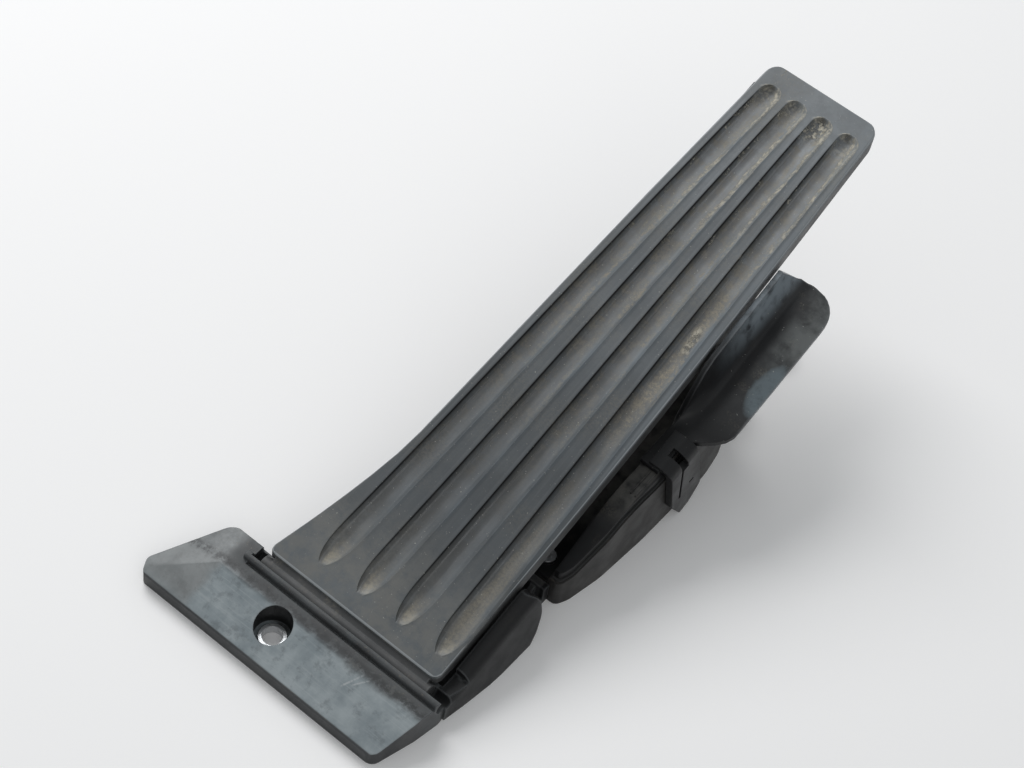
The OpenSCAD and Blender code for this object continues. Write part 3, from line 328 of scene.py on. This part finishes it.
def shelf_dirt(g, paint, y, wander):
    """A grey shelf behind the slope, crumbs in the hinge channel and grime where slope and shelf meet."""
    shelf = g.mul(g.ramp(y, *SHELF_START_Y), g.ramp(y, *SHELF_END_Y),
                  g.ramp(g.noise(7.0, 5.0, 0.65), 0.35, 0.6))
    paint = g.mix(g.mul(shelf, 0.55), paint, SHELF_GREY)
    crumbs = g.mul(g.ramp(g.noise(1.1, 4.0, 0.7), 0.6, 0.68), g.band(y, CHANNEL_Y, 5.0, 3.0), 0.45)
    paint = g.mix(g.mul(crumbs, g.ramp(g.up(), 0.0, 0.6)), paint, CRUMB_BROWN)
    line = g.band(g.add(y, g.mul(wander, 0.35)), GRIME_LINE_Y, 0.6, 2.2)
    grime = g.mul(line, g.ramp(g.noise(3.0, 5.0, 0.75), 0.42, 0.55))
    return g.mix(g.mul(grime, g.ramp(g.up(), 0.5, 0.8), 0.75), paint, GRIME_BLACK)


def strokes(g, mask):
    """Two short pale strokes across the heel plate, right of the bolt."""
    total = 0.0
    for at, turn, long, wide in STROKES:
        turned = (0, 0, radians(turn))
        made = g.node("ShaderNodeMapping", {"Vector": g.place, "Location": at, "Rotation": turned},
                      vector_type="TEXTURE")
        u, v, _ = g.split(made.outputs[0])
        stroke = g.mul(g.band(u, 0.0, long * 0.6, long * 0.5), g.band(v, 0.0, wide * 0.4, wide))
        total = g.most(stroke, total)
    return g.mul(total, mask, g.ramp(g.noise(0.8, 3.0), 0.3, 0.55), 0.75)


def painted_shade_places(g, paint, x, y):
    """Painted shade in the bolt's pocket, on the plate's front rim and over the side skirt."""
    from_bolt = g.math("SQRT", g.add(g.mul(x, x), g.mul(y, y)))
    # Painted shade inside the bolt's pocket
    pocket = g.mul(g.ramp(from_bolt, *POCKET_RADIUS), g.ramp(g.up(), 0.8, 0.5))
    paint = g.mix(g.mul(pocket, 0.9), paint, POCKET_SHADE)
    # Painted shade on the plate's front face
    rim = g.mul(g.ramp(y, *RIM_Y), g.ramp(g.up(), 0.45, 0.2))
    paint = g.mix(g.mul(rim, 0.7), paint, RIM_SHADE)
    # The side skirt is painted near black as shade
    skirt = g.mul(g.ramp(x, *SKIRT_X), g.ramp(y, *SKIRT_Y))
    return g.mix(g.mul(skirt, 0.9), paint, SKIRT_SHADE)


# Spans on the guard wing, in millimetres, from where a mask is 0 to where it is 1
WING_FLAT_X = (64.0, 73.0)
WING_FLAT_Y = (170.0, 192.0)
WING_VALLEY_START_Y = (135.0, 150.0)
WING_VALLEY_END_Y = (208.0, 190.0)
WING_LIP_X = (62.5, 58.5)
WING_LIP_Y = (160.0, 192.0)
WING_CLIP_Y = (164.0, 146.0)
WING_WORN_Y = (150.0, 160.0)
WING_SPECKED_Y = (150.0, 170.0)

WING_VALLEY_X = 63.0
PATCH_X = 77.6
PATCH_Y = 172.0
PATCH_HALF_X = 6.4
PATCH_HALF_Y = 11.5

# The grey flat is painted light, the valley black painted shade, the lip blue a painted reflection and the
# patch blue a painted highlight
WING_FLAT_PAINTED_LIGHT = (0.165, 0.175, 0.172)
WING_VALLEY_SHADE = (0.008, 0.008, 0.009)
WING_LIP_REFLECTION = (0.27, 0.31, 0.34)
WING_CLIP_BLACK = (0.006, 0.006, 0.0065)
WING_PATCH_HIGHLIGHT = (0.14, 0.172, 0.188)
WING_SPECK = (0.36, 0.36, 0.33)


def wing_marks_and_painted_light(g, paint):
    """The guard wing's grey flat painted lighter as if lit, its valley with painted shade, its dark clip, a
    bluish painted reflection on its lip, a pale painted highlight patch and light specks.
    """
    x, y, _ = g.split(g.place)
    cloud = g.ramp(g.noise(11.0, 5.0, 0.62), 0.3, 0.62)
    flat = g.mul(g.ramp(x, *WING_FLAT_X), g.ramp(y, *WING_FLAT_Y), cloud)
    # Painted light on the wing's flat
    paint = g.mix(g.mul(flat, 0.72), paint, WING_FLAT_PAINTED_LIGHT)
    # Painted shade in the wing's valley
    valley = g.mul(g.band(x, WING_VALLEY_X, 2.5, 5.0), g.ramp(y, *WING_VALLEY_START_Y),
                   g.ramp(y, *WING_VALLEY_END_Y))
    paint = g.mix(g.mul(valley, 0.85), paint, WING_VALLEY_SHADE)
    # Painted bluish reflection on the lip
    lip = g.mul(g.ramp(x, *WING_LIP_X), g.ramp(y, *WING_LIP_Y), g.ramp(g.noise(6.0, 4.0), 0.2, 0.55))
    paint = g.mix(g.mul(lip, 0.9), paint, WING_LIP_REFLECTION)
    paint = g.mix(g.mul(g.ramp(y, *WING_CLIP_Y), 0.9), paint, WING_CLIP_BLACK)
    # Painted highlight patch at the right bend
    paint = g.mix(wing_highlight_patch(g, x, y), paint, WING_PATCH_HIGHLIGHT)
    worn = g.mul(worn_edge(g), g.ramp(y, *WING_WORN_Y), 0.55)
    paint = g.mix(worn, paint, WORN)
    specks = g.mul(g.ramp(g.noise(1.0, 1.0), 0.75, 0.77), g.ramp(y, *WING_SPECKED_Y, 0.2, 0.75))
    return g.mix(specks, paint, WING_SPECK)


def wing_highlight_patch(g, x, y):
    """Mask of a painted highlight: an oval patch with a smudged outline at the wing's right bend."""
    smudge = g.mul(g.sub(g.noise(5.0, 5.0, 0.65), 0.5), 1.1)
    across = g.div(g.sub(x, PATCH_X), PATCH_HALF_X)
    ahead = g.div(g.sub(y, PATCH_Y), PATCH_HALF_Y)
    oval = g.add(g.add(g.mul(across, across), g.mul(ahead, ahead)), smudge)
    return g.mul(g.ramp(oval, 1.05, 0.45), g.ramp(g.noise(2.5, 5.0, 0.7), 0.2, 0.55, 0.55, 1.0), 0.9)


# Where dust has settled on the deck cover, in millimetres, and its colour there
COVER_DUST_X = (38.0, 52.0)
COVER_DUST_Y = (96.0, 116.0)
COVER_DUST = (0.12, 0.115, 0.105)


def cover_marks(g, paint):
    """Dust that has settled on the deck cover beside the wing's clip."""
    x, y, _ = g.split(g.place)
    dusty = g.mul(g.ramp(x, *COVER_DUST_X), g.ramp(y, *COVER_DUST_Y), g.ramp(g.up(), 0.6, 0.9))
    return g.mix(g.mul(dusty, g.ramp(g.noise(6.0, 4.0), 0.25, 0.6), 0.6), paint, COVER_DUST)


# The pad's lines, as in the CAD model, in millimetres
HEEL_Y = 18.7
PAD_RUN = 245.0
GROOVE_HEEL_X = -1.9
GROOVE_HEEL_PITCH = 17.7
GROOVE_TOE_X = 11.3
GROOVE_TOE_PITCH = 11.35
GROOVE_HEEL_HALF = 4.9
GROOVE_TOE_HALF = 4.1
GROOVE_LEAST_HALF = 1.5
GROOVE_FADE = 14.0
GROOVE_Y0 = HEEL_Y + 6.5
GROOVE_Y1 = HEEL_Y + PAD_RUN - 8.0
LAST_GROOVE = 3.0

# Width that one groove's pitch counts for in the streaks' own measure
STREAK_PITCH = 14.0


class Grooves:
    """Where a point of the pad lies among its four grooves, as sockets.

    Along goes from 0 at the heel to 1 at the toe. Side goes from -1 at a groove's left edge to 1 at its
    right edge.
    """

    def __init__(self, g):
        x, y, _ = g.split(g.place)
        self.along = g.ramp(y, HEEL_Y, HEEL_Y + PAD_RUN, smooth=False)
        first = g.ramp(self.along, 0, 1, GROOVE_HEEL_X, GROOVE_TOE_X, smooth=False)
        pitch = g.ramp(self.along, 0, 1, GROOVE_HEEL_PITCH, GROOVE_TOE_PITCH, smooth=False)
        count = g.div(g.sub(x, first), pitch)
        index = g.least(g.most(g.math("ROUND", count), 0.0), LAST_GROOVE)
        self.third = g.band(index, 2.0, 0.2, 0.2)
        self.fourth = g.ramp(index, 2.4, 2.8)
        self.heel_way = g.sub(y, GROOVE_Y0)
        self.toe_way = g.sub(GROOVE_Y1, y)
        rounding = g.least(self.round_end(g, self.heel_way, GROOVE_FADE),
                           self.round_end(g, self.toe_way, GROOVE_TOE_HALF))
        half = g.mul(g.ramp(self.along, 0, 1, GROOVE_HEEL_HALF, GROOVE_TOE_HALF, smooth=False), rounding)
        self.side = g.div(g.mul(g.sub(count, index), pitch), g.most(half, GROOVE_LEAST_HALF))
        self.lengthwise = g.mul(g.ramp(self.heel_way, -0.2, 1.5), g.ramp(self.toe_way, -0.2, 0.4))
        self.inside = g.mul(g.band(self.side, 0.0, 0.93, 0.07), self.lengthwise)
        self.flow = g.node("ShaderNodeCombineXYZ", {0: g.mul(count, STREAK_PITCH), 1: y, 2: 0.0}).outputs[0]
        self.wobble = g.add(self.side, g.mul(g.sub(self.streaks(g, 7.0, 20.0, 6.0), 0.5), 1.3))

    @staticmethod
    def round_end(g, way, reach):
        """Share of the full width, which closes as a round end over the reach."""
        rest = g.sub(1.0, g.ramp(way, 0, reach, smooth=False))
        return g.math("SQRT", g.most(g.sub(1.0, g.mul(rest, rest)), 0.0))

    def streaks(self, g, across, ahead, detail=4.0):
        """Noise drawn out along the grooves."""
        return g.noise(1.0, detail, 0.62, g.mapped(self.flow, (1 / across, 1 / ahead, 1)))


# Spans along the pad, as shares of its length, from where a mask is lowest to where it is highest
STREAKS_RISE = (0.2, 0.66)
FOURTH_PATCH_START = (0.34, 0.5)
FOURTH_PATCH_END = (0.8, 0.6)
FOURTH_HEEL_START = (0.02, 0.06)
FOURTH_HEEL_END = (0.42, 0.1)
TOE_LINES = (0.66, 0.86)
TOE_CRUMBS = (0.62, 0.78)
FILM_RISE = (-0.1, 1.0)
CREST_RISE = (0.1, 0.8)
OUTER_LAND = (0.2, 0.45)
HEEL_STAIN = (0.2, 0.03)
GRIME_RISE = (0.15, 0.6)
RELIEF_RISE = (0.0, 0.3)
BRIGHT_SPOT = 0.585

# Ways from a groove's ends, in millimetres, from where a mask is 0 to where it is 1
TOE_CAKE = (12.0, 5.0)
TOE_RIM = (24.0, 8.0)
TOE_ROUND = (3.4, 1.8)
HEEL_DUST_START = (0.5, 4.0)
HEEL_DUST_END = (16.0, 7.0)
HEEL_SPOT = 3.6
WALL_LINE_START = (3.0, 26.0)
WALL_LINE_END = (4.0, 14.0)
RELIEF_END = (3.0, 12.0)


def soft_dust(g, at, broken):
    """Thin dust: streaks in the grooves, the fourth groove's patch, all heel ends and a faint film."""
    fine = g.ramp(g.noise(0.9, 6.0, 0.85), 0.4, 0.6)
    rising = g.ramp(at.along, *STREAKS_RISE)
    thin = g.mul(g.band(at.wobble, 0.62, 0.08, 0.3), g.ramp(at.streaks(g, 5.0, 26.0), 0.4, 0.54),
                 rising, broken, 0.9)
    wide = g.mul(g.band(at.wobble, 0.36, 0.2, 0.5), g.ramp(at.streaks(g, 7.0, 30.0), 0.44, 0.66),
                 rising, g.add(0.25, g.mul(broken, 0.4)))
    window = g.mul(g.ramp(at.along, *FOURTH_PATCH_START), g.ramp(at.along, *FOURTH_PATCH_END))
    patch = g.mul(g.add(0.35, g.mul(broken, 0.65)), g.band(at.wobble, 0.16, 0.16, 0.55),
                  g.ramp(at.streaks(g, 6.0, 18.0), 0.26, 0.5), window, at.fourth)
    low = g.mul(g.band(at.wobble, 0.15, 0.3, 0.5), g.ramp(at.along, *FOURTH_HEEL_END),
                g.ramp(at.along, *FOURTH_HEEL_START), at.fourth)
    heel = g.mul(g.ramp(at.heel_way, *HEEL_DUST_START), g.ramp(at.heel_way, *HEEL_DUST_END),
                 g.band(at.wobble, 0.2, 0.25, 0.5), g.ramp(g.noise(4.0, 4.0), 0.2, 0.55), 0.5)
    in_groove = g.mul(g.most(g.mul(patch, 0.9), g.mul(low, 0.45), thin, wide), at.inside)
    soft = g.mul(g.most(in_groove, heel), g.add(g.mul(fine, 0.6), 0.4))
    film = g.mul(g.ramp(g.noise(24.0, 5.0, 0.65), 0.42, 0.72), fine,
                 g.ramp(at.along, *FILM_RISE, 0.1, 0.28))
    return g.most(soft, film)


def loose_dust(g, at, broken):
    """Dust that stands proud: lines, crumbs at the left walls, caked toe ends and one bright spot."""
    line = g.mul(g.band(at.wobble, 0.74, 0.07, 0.22), g.ramp(at.streaks(g, 4.0, 13.0), 0.4, 0.5),
                 g.ramp(at.along, *TOE_LINES), g.add(0.3, g.mul(broken, 0.7)), at.lengthwise)
    crumbs = g.mul(g.band(at.side, -0.84, 0.06, 0.16), g.ramp(at.streaks(g, 3.0, 9.0), 0.56, 0.62),
                   g.ramp(g.noise(0.9, 3.0, 0.7), 0.48, 0.58), g.ramp(at.along, *TOE_CRUMBS), 0.8)
    cake = g.mul(g.ramp(at.toe_way, *TOE_CAKE), at.inside, g.ramp(g.noise(2.0, 5.0, 0.75), 0.46, 0.58),
                 g.add(0.22, g.mul(at.third, 0.78)))
    toe_round = g.mul(g.band(g.math("ABSOLUTE", at.side), 0.9, 0.15, 0.2), g.ramp(at.toe_way, *TOE_ROUND))
    ring = g.most(g.band(at.side, 0.95, 0.08, 0.2), toe_round)
    rim = g.mul(ring, g.ramp(at.toe_way, *TOE_RIM), at.lengthwise,
                g.ramp(g.noise(1.6, 5.0, 0.75), 0.38, 0.58, 0.15, 0.8))
    spot = g.mul(g.band(at.wobble, 0.2, 0.1, 0.35), g.band(at.along, BRIGHT_SPOT, 0.008, 0.022),
                 at.fourth, broken)
    return g.most(cake, rim, crumbs, line, g.mul(spot, 0.9))


# Brightness of the pad from heel to toe, and the colours that it shades
TREAD_SHADE = ((0, 0.66), (0.05, 0.6), (0.14, 0.42), (0.3, 0.4), (0.55, 0.58), (0.8, 0.74),
               (0.96, 0.95), (1, 1))
TREAD_BLACK = (0, 0, 0)
TREAD_HEEL_BLUE = (0.15, 0.174, 0.192)
TREAD_TOE_GREY = (0.206, 0.222, 0.232)
TREAD_STREAK = (0.19, 0.2, 0.205)
TREAD_MOTTLE = (0.028, 0.029, 0.03)
# Wear with a painted highlight on the crests, and painted sheen on the outer land
TREAD_CREST_WEAR_AND_HIGHLIGHT = (0.2, 0.24, 0.272)
TREAD_OUTER_LAND_SHEEN = (0.19, 0.212, 0.228)
TREAD_HEEL_STAIN = (0.158, 0.153, 0.138)
# Painted shade with grime in the grooves' left half
TREAD_LOW_SHADE_AND_GRIME = (0.034, 0.033, 0.03)
TREAD_HEEL_SPOT = (0.3, 0.278, 0.222)
TREAD_GRIME = (0.135, 0.12, 0.09)
# Painted shade with dirt at the grooves' left edge
TREAD_LINE_SHADE_AND_DIRT = (0.012, 0.012, 0.013)
TREAD_FLECK = (0.4, 0.39, 0.35)
# Painted highlight on the pad's rim
TREAD_RIM_HIGHLIGHT = (0.36, 0.38, 0.39)


def land_paint(g, at):
    """Worn bluish grey plastic, streaked and mottled, browner at the heel, with a painted highlight on the
    worn groove crests and painted sheen on the outer land.
    """
    shade = g.mul(g.curve(at.along, TREAD_SHADE), g.ramp(g.noise(20.0, 5.0, 0.6), 0.3, 0.7, 0.82, 1.14))
    paint = g.mix(shade, TREAD_BLACK, g.mix(at.along, TREAD_HEEL_BLUE, TREAD_TOE_GREY))
    streak = g.ramp(at.streaks(g, 1.2, 40.0), 0.5, 0.8)
    paint = g.mix(g.mul(streak, 0.16), paint, TREAD_STREAK)
    mottle = g.ramp(g.noise(5.0, 6.0, 0.75), 0.36, 0.62)
    paint = g.mix(g.mul(mottle, 0.22), paint, TREAD_MOTTLE)
    # Wear and a painted highlight on the crest at each groove's right side
    crest = g.mul(g.band(at.side, 0.8, 0.1, 0.4), at.lengthwise, g.ramp(at.streaks(g, 4.0, 24.0), 0.3, 0.66))
    paint = g.mix(g.mul(crest, g.ramp(at.along, *CREST_RISE, 0.2, 0.5)), paint, TREAD_CREST_WEAR_AND_HIGHLIGHT)
    # Painted sheen on the land right of the fourth groove
    outer = g.mul(at.fourth, g.ramp(at.side, 1.05, 1.35), g.ramp(at.along, *OUTER_LAND), 0.4)
    paint = g.mix(outer, paint, TREAD_OUTER_LAND_SHEEN)
    stain = g.mul(g.ramp(at.along, *HEEL_STAIN), g.ramp(g.noise(7.0, 6.0, 0.72), 0.34, 0.6, 0.2, 1.0), 0.6)
    return g.mix(stain, paint, TREAD_HEEL_STAIN)


def groove_paint(g, at, paint):
    """The grooves' left half darkened by painted shade and grime, tan heel ends, brown grime and a black
    line at their left edge that is painted shade and dirt.
    """
    # Painted shade and grime in the left half of each groove
    low = g.mul(g.band(at.side, -0.5, 0.3, 0.6), at.inside,
                g.ramp(g.noise(9.0, 6.0, 0.75), 0.3, 0.6, 0.2, 0.7))
    paint = g.mix(low, paint, TREAD_LOW_SHADE_AND_GRIME)
    spot = g.mul(g.band(at.heel_way, HEEL_SPOT, 1.2, 3.2), g.band(at.side, 0.3, 0.35, 0.5), at.inside,
                 g.ramp(g.noise(1.8, 5.0, 0.7), 0.35, 0.6, 0.15, 0.6))
    paint = g.mix(spot, paint, TREAD_HEEL_SPOT)
    grime = g.mul(g.band(at.side, -0.25, 0.45, 0.4), at.inside,
                  g.ramp(g.noise(4.5, 7.0, 0.82), 0.48, 0.6), 0.55)
    paint = g.mix(g.mul(grime, g.ramp(at.along, *GRIME_RISE)), paint, TREAD_GRIME)
    # Painted shade and dirt along each groove's left edge
    line = g.mul(g.band(at.side, -0.97, 0.03, 0.07), g.ramp(at.heel_way, *WALL_LINE_START),
                 g.ramp(at.toe_way, *WALL_LINE_END), 0.8)
    return g.mix(line, paint, TREAD_LINE_SHADE_AND_DIRT)


# Change of height across a groove, from its left to its right, with 0.5 for none
RELIEF_REACH = 1.3
RELIEF = ((0, 0.5), (0.115, 0.5), (0.142, 0.84), (0.192, 0.92), (0.3, 0.63), (0.5, 0.43), (0.7, 0.24),
          (0.808, 0.27), (0.885, 0.38), (0.95, 0.47), (1, 0.5))


def tread_relief(g, at, loose):
    """Steep left groove walls and floors that rise to the right, a fine grain and dust that stands proud."""
    across = g.ramp(at.side, -RELIEF_REACH, RELIEF_REACH, smooth=False)
    depth = g.mul(g.sub(g.curve(across, RELIEF), 0.5), g.ramp(at.along, *RELIEF_RISE, -0.5, -2.3),
                  g.ramp(at.toe_way, *RELIEF_END), at.lengthwise)
    relief = g.bump(depth, 1.0, 1.0)
    relief = g.bump(g.noise(0.3, 2.0), 0.6, 0.04, relief)
    return g.bump(g.mul(loose, g.noise(1.2, 4.0, 0.7)), 1.0, 0.5, relief)


def tread_material():
    """Grooved pad: bluish grey plastic with steep left groove walls, worn lands, dust, and painted
    highlights, sheen and shade.
    """
    g = Graph("tread_plastic")
    at = Grooves(g)
    broken = g.ramp(g.noise(2.2, 6.0, 0.8), 0.42, 0.56)
    soft = soft_dust(g, at, broken)
    loose = loose_dust(g, at, broken)
    paint = groove_paint(g, at, land_paint(g, at))
    facing = g.ramp(g.up(), 0.2, 0.7)
    paint = g.mix(g.mul(soft, facing), paint, DUST)
    paint = g.mix(g.mul(loose, facing), paint, CAKED)
    fleck = g.mul(g.ramp(g.noise(0.7, 1.0), 0.74, 0.77), 0.6)
    paint = g.mix(fleck, paint, TREAD_FLECK)
    # Painted highlight along the pad's rounded rim, away from the grooves
    away = g.sub(1.0, g.mul(g.band(at.side, 0.0, 1.2, 0.1), at.lengthwise))
    rim = g.mul(g.band(g.up(), 0.64, 0.24, 0.06), away)
    paint = g.mix(g.mul(rim, 0.7), paint, TREAD_RIM_HIGHLIGHT)
    rough = g.ramp(g.noise(12.0, 3.0), 0.3, 0.7, 0.42, 0.54)
    rough = g.add(rough, g.mul(g.most(soft, loose), TREAD_DUST_ROUGHNESS))
    return g.finish(paint, rough, tread_relief(g, at, loose))


# Spacing of the machining lines on metal, in millimetres, and how dark a stain is
MACHINING_LINE = 0.25
STAIN_SHARE = 0.45


def metal(name, color, roughness):
    """Bare or plated metal with fine machining lines and small stains."""
    g = Graph(name)
    lines = g.noise(1.0, 2.0, 0.5, g.mapped(g.place, (0.15, 1 / MACHINING_LINE, 1 / MACHINING_LINE)))
    stain = g.ramp(g.noise(2.5, 4.0, 0.65), 0.5, 0.75)
    paint = g.mix(g.mul(stain, 0.4), color, tuple(c * STAIN_SHARE for c in color))
    rough = g.add(g.ramp(lines, 0.3, 0.7, roughness - 0.05, roughness + 0.08), g.mul(stain, 0.2))
    return g.finish(paint, rough, g.bump(lines, 0.35, 0.02), metallic=1.0)


BOARD_GREEN = (0.012, 0.09, 0.035)
TRACK_GREEN = (0.03, 0.16, 0.06)


def board_material():
    """Coated circuit board with faint tracks."""
    g = Graph("board")
    track = g.ramp(g.noise(1.0, 1.0, 0.4, g.mapped(g.place, (1, 0.8, 0.12))), 0.52, 0.56)
    paint = g.mix(track, BOARD_GREEN, TRACK_GREEN)
    return g.finish(paint, 0.35, g.bump(track, 0.5, 0.04))


def dress(node, material, bevel):
    """A CAD node with its material, bevelled or split edges and smooth curves."""
    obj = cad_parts[node]
    obj.data.materials.clear()
    obj.data.materials.append(material)
    obj.data.polygons.foreach_set("use_smooth", [True] * len(obj.data.polygons))
    weld = obj.modifiers.new("weld", "WELD")
    weld.merge_threshold = WELD_GAP
    flat = obj.modifiers.new("flat", "DECIMATE")
    flat.decimate_type = "DISSOLVE"
    flat.angle_limit = DISSOLVE_ANGLE
    if bevel:
        edge = obj.modifiers.new("edge", "BEVEL")
        edge.width = bevel * MM
        edge.segments = BEVEL_SEGMENTS
        edge.limit_method = "ANGLE"
        edge.angle_limit = BEVEL_ANGLE
        edge.use_clamp_overlap = True
    else:
        split = obj.modifiers.new("split", "EDGE_SPLIT")
        split.split_angle = SPLIT_ANGLE
    shade = obj.modifiers.new("shade", "WEIGHTED_NORMAL")
    shade.keep_sharp = False


def floor_material():
    """Pale floor that the camera, reflections and clear pieces see as nearly white."""
    g = Graph("floor_paint")
    paint = g.mix(g.ramp(g.noise(60.0, 3.0), 0.3, 0.7), FLOOR_DARK, FLOOR_LIGHT)
    path = g.node("ShaderNodeLightPath").outputs
    seen = g.most(path["Is Camera Ray"], path["Is Glossy Ray"], path["Is Transmission Ray"])
    paint = g.mix(seen, paint, FLOOR_SEEN)
    g.shader.inputs["Emission Color"].default_value = (1, 1, 1, 1)
    g.put(g.shader.inputs["Emission Strength"], g.mul(seen, FLOOR_GLOW))
    return g.finish(paint, 0.75, specular=0.25)


def floor():
    mesh = bpy.data.meshes.new("floor")
    far = FLOOR_REACH
    mesh.from_pydata([(-far, -far, 0), (far, -far, 0), (far, far, 0), (-far, far, 0)], [], [(0, 1, 2, 3)])
    mesh.materials.append(floor_material())
    obj = bpy.data.objects.new("floor", mesh)
    obj.location.z = -FLOOR_DROP
    bpy.context.scene.collection.objects.link(obj)


def camera():
    data = bpy.data.cameras.new("photo_camera")
    data.lens = LENS
    data.sensor_width = SENSOR_WIDTH
    data.clip_start = CLIP_START
    obj = bpy.data.objects.new("photo_camera", data)
    turn = Matrix((CAMERA_RIGHT, -CAMERA_DOWN, -CAMERA_AHEAD)).transposed()
    obj.matrix_world = Matrix.Translation(CAMERA_AT) @ turn.to_4x4()
    bpy.context.scene.collection.objects.link(obj)
    bpy.context.scene.camera = obj


def lamp(name, at, size, power, color):
    """A round soft lamp that points at the middle of the pedal."""
    data = bpy.data.lights.new(name, "AREA")
    data.shape = "DISK"
    data.size = size
    data.energy = power
    data.color = color
    obj = bpy.data.objects.new(name, data)
    obj.location = Vector(at)
    obj.rotation_euler = (Vector(LIT_CENTRE) - Vector(at)).to_track_quat("-Z", "Y").to_euler()
    bpy.context.scene.collection.objects.link(obj)


def lights():
    world = bpy.data.worlds.new("studio")
    world.use_nodes = True
    sky = world.node_tree.nodes["Background"]
    sky.inputs["Color"].default_value = SKY_COLOR
    sky.inputs["Strength"].default_value = SKY_STRENGTH
    bpy.context.scene.world = world
    lamp("window", WINDOW_AT, WINDOW_SIZE, WINDOW_POWER, WINDOW_COLOR)
    lamp("fill", FILL_AT, FILL_SIZE, FILL_POWER, FILL_COLOR)


camera()
lights()
floor()

PLASTICS = {
    "frame": moulded("frame_plastic", (0.045, 0.046, 0.047), (0.07, 0.071, 0.072), 0.42, dust=0.3,
                     specular=0.3, edge=0.35, marks=frame_marks_and_painted_light),
    "carrier": moulded("carrier_plastic", (0.04, 0.041, 0.042), (0.07, 0.07, 0.07), 0.5, dust=0.4,
                       edge=0.25),
    "housing": moulded("housing_plastic", (0.017, 0.016, 0.015), (0.03, 0.028, 0.026), 0.46, dust=0.3,
                       specular=0.35),
    "cover": moulded("cover_plastic", (0.006, 0.006, 0.0065), (0.011, 0.011, 0.012), 0.36, dust=0.15,
                     specular=0.3, marks=cover_marks),
    "wing": moulded("wing_plastic", (0.026, 0.027, 0.028), (0.045, 0.045, 0.046), 0.36, dust=0.3,
                    dust_size=9.0, specular=0.35, marks=wing_marks_and_painted_light),
    "lever": moulded("lever_plastic", (0.09, 0.09, 0.095), (0.12, 0.12, 0.125), 0.5),
    "bush": moulded("bush_plastic", (0.6, 0.58, 0.5), (0.7, 0.68, 0.6), 0.4, grain_height=0.01),
    "shoe": moulded("shoe_plastic", (0.26, 0.2, 0.13), (0.35, 0.28, 0.19), 0.75, mottle=3.0),
    "rubber": moulded("rubber", (0.018, 0.018, 0.018), (0.03, 0.03, 0.03), 0.75, grain=0.6),
}
METALS = {
    "zinc": metal("zinc", (0.66, 0.67, 0.68), 0.32),
    "steel": metal("steel", (0.58, 0.58, 0.6), 0.26),
    "spring": metal("spring_steel", (0.28, 0.28, 0.3), 0.38),
    "contact": metal("contact_metal", (0.75, 0.62, 0.34), 0.28),
}

dress("pad_tread", tread_material(), TREAD_BEVEL)
for node, kind in {
    "base_frame": "frame", "pedal_carrier": "carrier", "housing_shell": "housing", "deck_cover": "cover",
    "cheek_cap": "cover", "guard_wing": "wing", "connector_socket": "cover", "lever_arm": "lever",
    "magnet_rotor": "lever", "shaft_bush_left": "bush", "shaft_bush_right": "bush", "link_rollers": "bush",
    "friction_shoe": "shoe", "rest_bumper": "rubber", "full_stop_bumper": "rubber", "cover_gasket": "rubber",
}.items():
    dress(node, PLASTICS[kind], PLASTIC_BEVEL)
for node, kind in {
    "heel_sleeve": "zinc", "frame_screws": "zinc", "cover_screws": "zinc", "rear_sleeves": "zinc",
    "lever_shaft": "steel", "link_pin": "steel", "connector_pins": "contact",
}.items():
    dress(node, METALS[kind], METAL_BEVEL)
for node in ("return_spring_left", "return_spring_right"):
    dress(node, METALS["spring"], NO_BEVEL)
dress("sensor_board", board_material(), METAL_BEVEL)

bpy.context.scene.view_settings.view_transform = "Standard"
